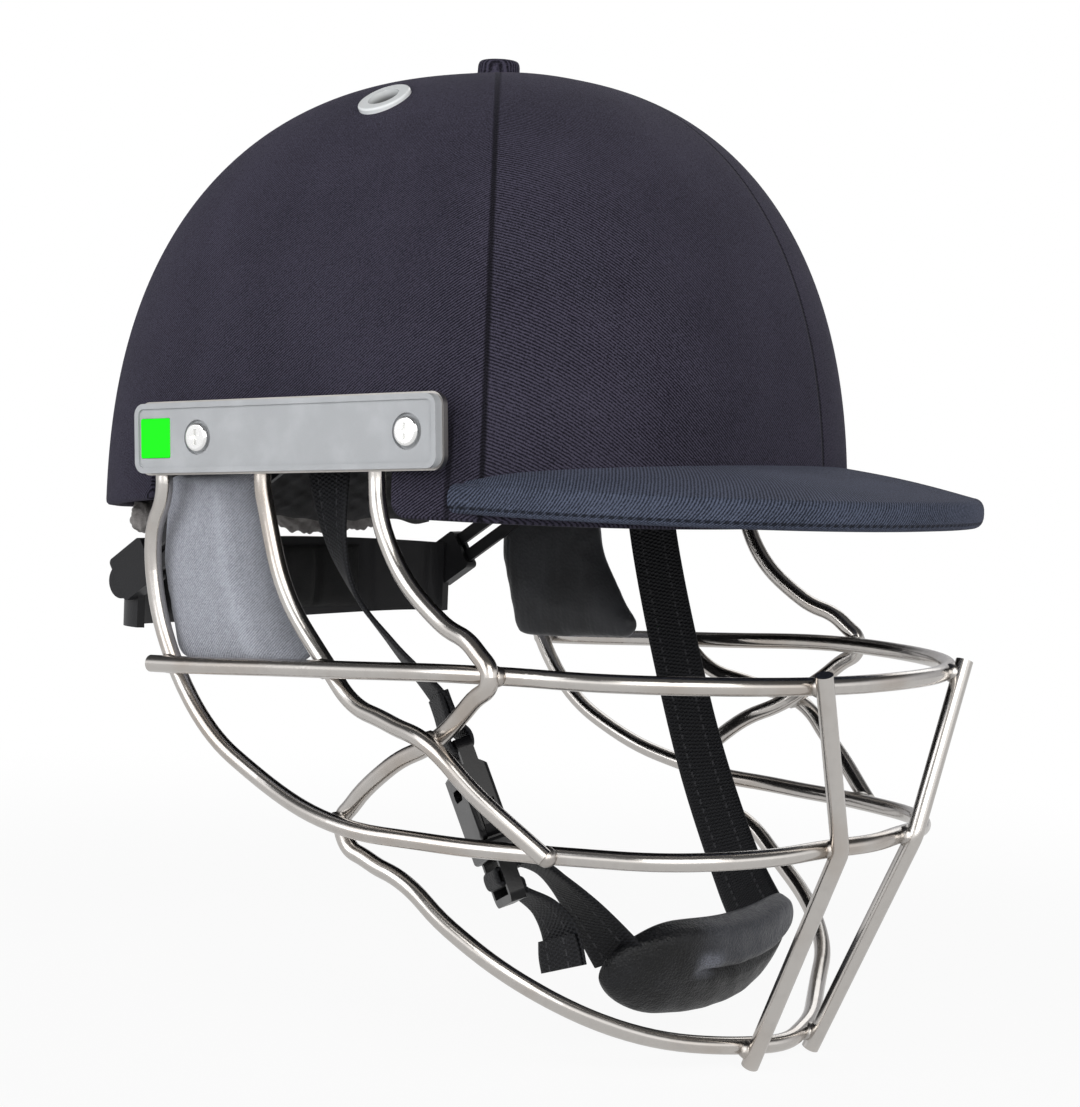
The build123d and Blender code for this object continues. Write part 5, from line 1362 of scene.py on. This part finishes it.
class HELMET_OT_shell(bpy.types.Operator):
    """Finish the shell, the peak's board, the liner and the vent grommets."""
    bl_idname = "helmet.shell"
    bl_label = "Shell, liner and vents"

    def execute(self, context):
        hardware = context.scene.helmet_hardware
        coat(moulded("shell_plastic", hardware.black_colour, 0.38, 900, 0.0001, 0.1), "outer_shell")
        coat(moulded("board_plastic", scaled(hardware.black_colour, 1.6), 0.5, 700, 0.0001), "peak_board")
        coat(bead_foam("liner_foam", context.scene.helmet_pads.foam_colour), "impact_liner")
        coat(vented_plastic("grommet_plastic", hardware.grommet_colour, 0.24), *both("vent_grommet"))
        return {"FINISHED"}


class HELMET_OT_fittings(bpy.types.Operator):
    """Finish the buckle, the anchors and the rear adjuster, and make the cradle's pad."""
    bl_idname = "helmet.fittings"
    bl_label = "Buckle and adjuster"

    def execute(self, context):
        black = context.scene.helmet_hardware.black_colour
        coat(moulded("buckle_plastic", scaled(black, 0.5), 0.24, 1300, 0.00005), "buckle_socket",
             "buckle_plug", "prong_rear", "prong_front")
        coat(moulded("adjuster_plastic", scaled(black, 1.2), 0.40, 1500, 0.0001, 0.1), *both("adjuster_arm"),
             "cradle", "dial_knob", *both("strap_anchor"))
        finish = brushed_cloth("cradle_cloth", scaled(context.scene.helmet_pads.comfort_colour, 0.2))
        dress(make_cradle_pad(), finish, "cradle", "comfort_cloth", "cradle_pad")
        return {"FINISHED"}


class HELMET_PT_looks(bpy.types.Panel):
    """Buttons that make each part of the helmet's looks."""
    bl_label = "Helmet"
    bl_idname = "HELMET_PT_looks"
    bl_space_type = "VIEW_3D"
    bl_region_type = "UI"
    bl_category = "Helmet"

    def draw(self, context):
        for operator in operators:
            self.layout.operator(operator.bl_idname)
        for group in groups:
            settings = getattr(context.scene, group)
            for name in settings.bl_rna.properties.keys():
                if name not in ("rna_type", "name"):
                    self.layout.prop(settings, name)


groups = {"helmet_stage": HelmetStageSettings, "helmet_cloth": HelmetClothSettings,
          "helmet_pads": HelmetPadSettings, "helmet_hardware": HelmetHardwareSettings,
          "helmet_straps": HelmetStrapSettings}
operators = (HELMET_OT_stage, HELMET_OT_cover, HELMET_OT_peak, HELMET_OT_shell, HELMET_OT_lining,
             HELMET_OT_temple_pads, HELMET_OT_chin_cup, HELMET_OT_straps, HELMET_OT_fittings,
             HELMET_OT_grille, HELMET_OT_plates)


def register():
    for kind in (*groups.values(), *operators, HELMET_PT_looks):
        bpy.utils.register_class(kind)
    for name, kind in groups.items():
        setattr(bpy.types.Scene, name, PointerProperty(type=kind))


def unregister():
    for name in groups:
        delattr(bpy.types.Scene, name)
    for kind in reversed((*groups.values(), *operators, HELMET_PT_looks)):
        bpy.utils.unregister_class(kind)


def main():
    register()
    for operator in operators:
        getattr(bpy.ops.helmet, operator.bl_idname.split(".")[1])()


if __name__ == "__main__":
    main()
